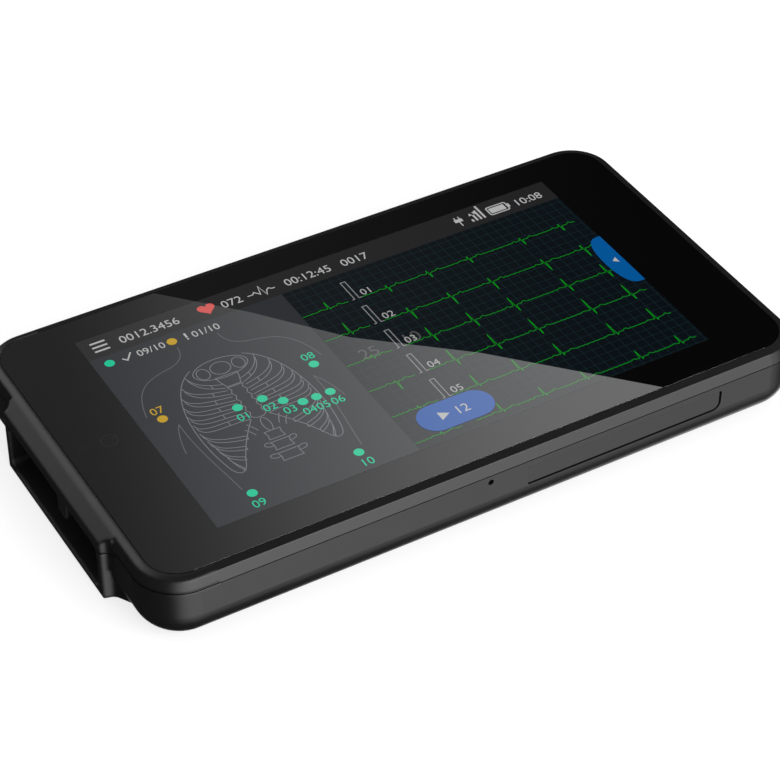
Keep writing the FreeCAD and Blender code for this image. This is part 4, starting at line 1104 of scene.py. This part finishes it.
class MONITOR_OT_chest(bpy.types.Operator):
    """Makes the chest drawing: the body's outline and the rib cage"""

    bl_idname = "monitor.chest"
    bl_label = "Chest drawing"

    MIDDLE = 21.7
    SIDES = (1, -1)
    RIB_ENDS = (7.6, 9.6, 11.0, 11.9, 12.4, 12.6, 12.6, 12.3, 11.8, 11.2)
    RIB_TOP, RIB_PITCH = 20.6, 2.75
    # Inner ends of the upper and of the lower ribs: the first's place, the step from rib to rib, their
    # height, and the point of the curve where the bone ends.
    UPPER_RIBS = ((2.0, 26.2), (0.0, 2.15), 1.25, 15)
    LOWER_RIBS = ((5.1, 42.1), (1.55, 2.6), 1.05, -1)
    LOWER_START = 6
    # Ovals on the middle line or beside it: middle, half width and half height, points.
    OVALS = (
        ((0, 21.4), (5.9, 3.0), 40), ((0, 21.4), (2.1, 1.9), 40), ((3.9, 21.6), (1.3, 1.7), 28),
        ((-3.9, 21.6), (1.3, 1.7), 28), ((0, 40.9), (0.85, 2.1), 28),
    )
    CROSS_BAR = ((3.1, 40.0), (2.6, 40.9), (2.3, 41.8))
    # Breastbone: half width, depth and number of its scallops, top and length.
    BREASTBONE = (1.45, 0.22, 5, 27.6, 9.8)
    HANDLE = [(-2.4, 23.9), (2.4, 23.9), (2.1, 25.4), (1.5, 27.3), (-1.5, 27.3), (-2.1, 25.4)]
    # Backbone: top, half width, and reach of the wing or none.
    BACKBONE = ((43.0, 1.7, None), (46.2, 1.95, 3.6), (49.6, 2.2, 4.2))

    def execute(self, context):
        screen = context.scene.monitor_screen
        faint = lit_ink("faint_ink", screen.line_color, 0.62)
        pale = lit_ink("pale_ink", screen.line_color)
        build_piece("body_outline", self.both_sides(self.body_lines()), faint)
        middle = [self.line(1, path, closed) for path, closed in self.middle_lines()]
        build_piece("rib_cage", self.both_sides(self.rib_lines() + self.cage_edge()) + middle, pale)
        return {"FINISHED"}

    def line(self, side, path, closed=False):
        """Line along a path given from the chest's middle line, on one side of it."""
        width = bpy.context.scene.monitor_screen.line_width
        return screen_line(np.asarray(path, float) * (side, 1) + (self.MIDDLE, 0), width, 1, closed=closed)

    def both_sides(self, paths):
        """Lines along paths and their mirror images."""
        return [self.line(side, path) for path in paths for side in self.SIDES]

    def body_lines(self):
        """Neck and shoulder, flank and inner arm as smooth curves."""
        neck = bezier((4.5, 11.4), (4.7, 13.6), (5.4, 15.6), (8.6, 16.5))
        shoulder = bezier((8.6, 16.5), (13.8, 17.6), (17.6, 18.4), (19.3, 27.8))
        flank = bezier((14.8, 32.6), (15.2, 41.0), (13.6, 48.0), (12.9, 55.3))
        arm = bezier((14.9, 32.8), (16.2, 35.0), (16.9, 38.0), (17.4, 41.0), 14)
        return [np.concatenate([neck, shoulder[1:]]), flank, arm]

    def rib_lines(self):
        """Ribs: rib i leaves the cage's edge, sags inwards and levels out towards the breastbone. Its
        upper and lower edges are the same curve a rib's height apart, and a short bar crosses it
        where the bone ends."""
        paths = []
        for i, x in enumerate(self.RIB_ENDS):
            top = self.RIB_TOP + self.RIB_PITCH * i
            upper = i < self.LOWER_START
            place, step, tall, joint = self.UPPER_RIBS if upper else self.LOWER_RIBS
            inner_x, inner_y = np.array(place) + np.array(step) * (i if upper else i - self.LOWER_START)
            edges = []
            for drop in (0.0, tall):
                sag = (x - 0.4 - drop * 0.3, top + 3.4 + drop)
                level = (x * 0.5 + inner_x * 0.45, inner_y - 0.9 + drop)
                edges.append(bezier((x - drop * 0.1, top + drop), sag, level, (inner_x, inner_y + drop), 22))
            paths += edges + [np.stack([edge[joint] for edge in edges])]
        return paths

    def cage_edge(self):
        """Side of the cage, its lower tip and the margin back up to the breastbone, and two cross bars."""
        side = bezier((5.8, 19.4), (12.6, 23.2), (14.6, 37.0), (12.2, 48.6), 30)
        tip = bezier((12.2, 48.6), (11.6, 51.6), (10.0, 51.8), (8.9, 49.4), 12)
        margin = bezier((8.9, 49.4), (6.8, 44.6), (4.6, 41.6), (2.0, 38.2), 18)
        bars = []
        for i in (0, 1):
            rest = [(x + i, y + i) for x, y in self.CROSS_BAR]
            bars.append(bezier((3.6 + i, 39.2 + 1.3 * i), *rest, 6))
        return [np.concatenate([side, tip[1:], margin[1:]]), *bars]

    def middle_lines(self):
        """Collar ring, breastbone and backbone about the middle line, as (path, closed)."""
        closed = [oval(*places) for places in self.OVALS] + [self.HANDLE]
        half, scallop, count, top, size = self.BREASTBONE
        down = np.linspace(0, 1, 40)
        edge = np.stack([half + scallop * np.cos(down * 2 * math.pi * count), top + down * size], -1)
        end = bezier((1.6, 37.5), (1.2, 38.7), (-1.2, 38.7), (-1.6, 37.5), 12)
        closed.append(np.concatenate([edge, end[1:-1], (edge * (-1, 1))[::-1]]))
        wings = []
        for top, wide, wing in self.BACKBONE:
            body = np.array([(wide, top), (wide - 0.25, top + 1.2), (wide, top + 2.4)])
            closed.append(np.concatenate([body, (body * (-1, 1))[::-1]]))
            if wing:
                tip, end = (wing + 0.6, top + 1.2), (wide - 0.1, top + 1.1)
                horn = bezier((wide, top + 0.1), (wing, top - 1.0), tip, end, 14)
                wings += [horn, horn * (-1, 1)]
        return [(path, True) for path in closed] + [(path, False) for path in wings]


class MONITOR_OT_electrodes(bpy.types.Operator):
    """Makes the electrodes' spots and their numbers"""

    bl_idname = "monitor.electrodes"
    bl_label = "Electrodes"

    # Screen places in millimetres.
    GOOD = (
        (3.34, 9.22), (38.3, 29.6), (19.0, 33.85), (24.45, 33.85), (27.7, 36.4), (30.9, 38.6),
        (33.9, 38.6), (37.0, 38.6), (33.0, 57.0), (10.0, 57.05),
    )
    LOOSE = ((17.07, 9.24), (4.9, 29.6))
    GOOD_NUMBERS = (
        ("08", 38.35, 27.9), ("01", 18.9, 37.8), ("02", 24.6, 37.8), ("03", 27.7, 40.4), ("04", 30.9, 42.5),
        ("05", 33.9, 42.5), ("06", 37.1, 42.5), ("09", 9.9, 61.1), ("10", 33.1, 61.1),
    )
    LOOSE_NUMBERS = (("07", 5.0, 27.9),)

    def execute(self, context):
        screen = context.scene.monitor_screen
        radius, height = screen.spot_radius / MM, screen.digit_height * 0.92
        green = lit_ink("green_ink", screen.good_color)
        amber = lit_ink("amber_ink", screen.loose_color)
        for name, places, ink in (("good_spots", self.GOOD, green), ("loose_spots", self.LOOSE, amber)):
            build_piece(name, [screen_plate(oval(place, radius, 40), 2) for place in places], ink)
        for name, rows, ink in (
            ("good_numbers", self.GOOD_NUMBERS, green),
            ("loose_number", self.LOOSE_NUMBERS, amber),
        ):
            shells = [screen_digits(text, height, u, v, 3, centred=True) for text, u, v in rows]
            build_piece(name, shells, ink)
        return {"FINISHED"}


class MONITOR_OT_traces(bpy.types.Operator):
    """Makes the six heartbeat traces, their calibration steps and their numbers"""

    bl_idname = "monitor.traces"
    bl_label = "Traces"

    BASE_LINES = (15.6, 24.6, 33.6, 42.5, 51.4, 60.3)
    BEATS = (49.5, 63.2, 72.9, 82.7, 95.6, 105.3)
    RUNS = ((43.55, 54.0), (57.3, 109.1))
    POINT_STEP = 0.07
    STEP_WIDTH, NUMBER_HEIGHT, SPEED_HEIGHT = 0.2 * MM, 2.0 * MM, 3.2 * MM
    SPEED = (("25", 47.4), ("10", 57.0))
    # Calibration step: right, and up from the base line.
    STEP = ((55.0, 0.0), (55.55, 0.0), (55.55, 6.1), (56.6, 6.1), (56.6, 0.0), (57.3, 0.0))
    # Upward and downward peak of a beat in each trace: the first beat, then the rest.
    PEAKS = (
        ((2.3, 0.4), (0.9, 1.7)),
        ((3.6, 0.7), (1.5, 2.9)),
        ((0.9, 0.5), (3.1, 2.2)),
        ((0.5, 2.7), (4.0, 1.9)),
        ((0.6, 0.3), (3.7, 0.7)),
        ((0.7, 0.4), (2.5, 0.6)),
    )

    def execute(self, context):
        screen = context.scene.monitor_screen
        traces, steps, numbers = [], [], []
        for number, (base, peaks) in enumerate(zip(self.BASE_LINES, self.PEAKS)):
            for start, end in self.RUNS:
                right = np.arange(start, end, self.POINT_STEP)
                path = np.stack([right, base - self.beats(right, peaks, number)], -1)
                traces.append(screen_line(path, screen.trace_width, 2))
            if number < len(self.BASE_LINES) - 1:
                text, place = f"{number + 1:02d}", (57.6, base - 0.35)
                steps.append(screen_line([(x, base - up) for x, up in self.STEP], self.STEP_WIDTH, 2))
                numbers.append(screen_digits(text, self.NUMBER_HEIGHT, *place, 3))
        marks = [screen_digits(text, self.SPEED_HEIGHT, right, 33.4, 1) for text, right in self.SPEED]
        white = screen.text_color
        build_piece("heartbeat_traces", traces, lit_ink("trace_ink", screen.trace_color))
        build_piece("calibration_steps", steps, lit_ink("grey_ink", white, 0.55))
        build_piece("trace_numbers", numbers, lit_ink("number_ink", white, 0.85))
        build_piece("speed_mark", marks, lit_ink("watermark_ink", white, 0.14))
        return {"FINISHED"}

    def beats(self, right, peaks, number):
        """Deflection in millimetres: each beat is a sum of bells, a low one before, a sharp one up, a
        sharp one down and a low wide one after, and a small ripple runs along the line."""

        def bell(centre, width):
            return np.exp(-(((right - centre) / width) ** 2))

        height = 0.05 * np.sin(right * 5.1 + number) + 0.04 * np.sin(right * 11.7 + 2 * number)
        for i, place in enumerate(self.BEATS):
            up, down = peaks[min(i, 1)]
            height += 0.3 * bell(place - 1.7, 0.42) + 0.42 * bell(place + 2.4, 0.5)
            height += up * bell(place, 0.13) - down * bell(place + 0.26, 0.13)
        return height


class MONITOR_OT_touch_keys(bpy.types.Operator):
    """Makes the start key and the side key shown on the screen"""

    bl_idname = "monitor.touch_keys"
    bl_label = "Touch keys"

    # Screen places in millimetres.
    START_MIDDLE, START_SIZES = (55.3, 55.75), (8.3, 3.9, 3.88)
    START_ARROW = [(51.7, 54.5), (51.7, 57.0), (53.9, 55.75)]
    SIDE_MIDDLE, SIDE_HALF, SIDE_BULGE = 31.1, 8.5, 4.25
    SIDE_ARROW = [(108.35, 31.2), (109.45, 30.3), (109.45, 32.1)]

    def execute(self, context):
        screen = context.scene.monitor_screen
        blue = lit_ink("start_ink", screen.start_color)
        white = lit_ink("mark_ink", screen.text_color)
        deep_blue = lit_ink("side_ink", screen.side_color)
        pill = rounded_rectangle(*self.START_SIZES, steps=20, centre=self.START_MIDDLE)
        build_piece("start_key", [screen_plate(pill, 3)], blue)
        marks = [screen_plate(self.START_ARROW, 4), screen_digits("12", 2.4 * MM, 55.0, 56.95, 4)]
        build_piece("start_mark", marks, white)
        build_piece("side_key", [screen_plate(self.side_key(screen.lit_width / MM), 3)], deep_blue)
        build_piece("side_mark", [screen_plate(self.SIDE_ARROW, 4)], white)
        return {"FINISHED"}

    def side_key(self, right):
        """Key on the right edge: its left side stands the bulge times the 0.55th power of the turn's
        cosine away from the edge, at the half height times the turn's sine."""
        turn = np.linspace(-math.pi / 2, math.pi / 2, 40)
        left = right - self.SIDE_BULGE * np.abs(np.cos(turn)) ** 0.55
        ends = [(right, self.SIDE_MIDDLE + sign * self.SIDE_HALF) for sign in (1, -1)]
        return np.concatenate([np.stack([left, self.SIDE_MIDDLE + self.SIDE_HALF * np.sin(turn)], -1), ends])


class MONITOR_PT_panel(bpy.types.Panel):
    """Lists the monitor's settings and steps"""

    bl_label = "ECG monitor"
    bl_idname = "MONITOR_PT_panel"
    bl_space_type = "VIEW_3D"
    bl_region_type = "UI"
    bl_category = "ECG monitor"

    def draw(self, context):
        for group in SETTINGS:
            settings = getattr(context.scene, group)
            box = self.layout.box()
            for name in settings.__annotations__:
                box.prop(settings, name)
        for step in STEPS:
            self.layout.operator(step.bl_idname)


SETTINGS = {
    "monitor_casing": MonitorCasingSettings,
    "monitor_screen": MonitorScreenSettings,
    "monitor_stage": MonitorStageSettings,
}
STEPS = (
    MONITOR_OT_stage,
    MONITOR_OT_casing,
    MONITOR_OT_glass,
    MONITOR_OT_inside,
    MONITOR_OT_display,
    MONITOR_OT_status_bar,
    MONITOR_OT_chest,
    MONITOR_OT_electrodes,
    MONITOR_OT_traces,
    MONITOR_OT_touch_keys,
)
CLASSES = (*SETTINGS.values(), *STEPS, MONITOR_PT_panel)


def register():
    """Registers the settings, the operators and the panel."""
    for item in CLASSES:
        bpy.utils.register_class(item)
    for name, group in SETTINGS.items():
        setattr(bpy.types.Scene, name, PointerProperty(type=group))


def unregister():
    """Takes back what register added."""
    for name in SETTINGS:
        delattr(bpy.types.Scene, name)
    for item in reversed(CLASSES):
        bpy.utils.unregister_class(item)


def main():
    """Registers the add-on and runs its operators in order."""
    register()
    make_effects()
    for step in STEPS:
        group, name = step.bl_idname.split(".")
        getattr(getattr(bpy.ops, group), name)()


if __name__ == "__main__":
    main()
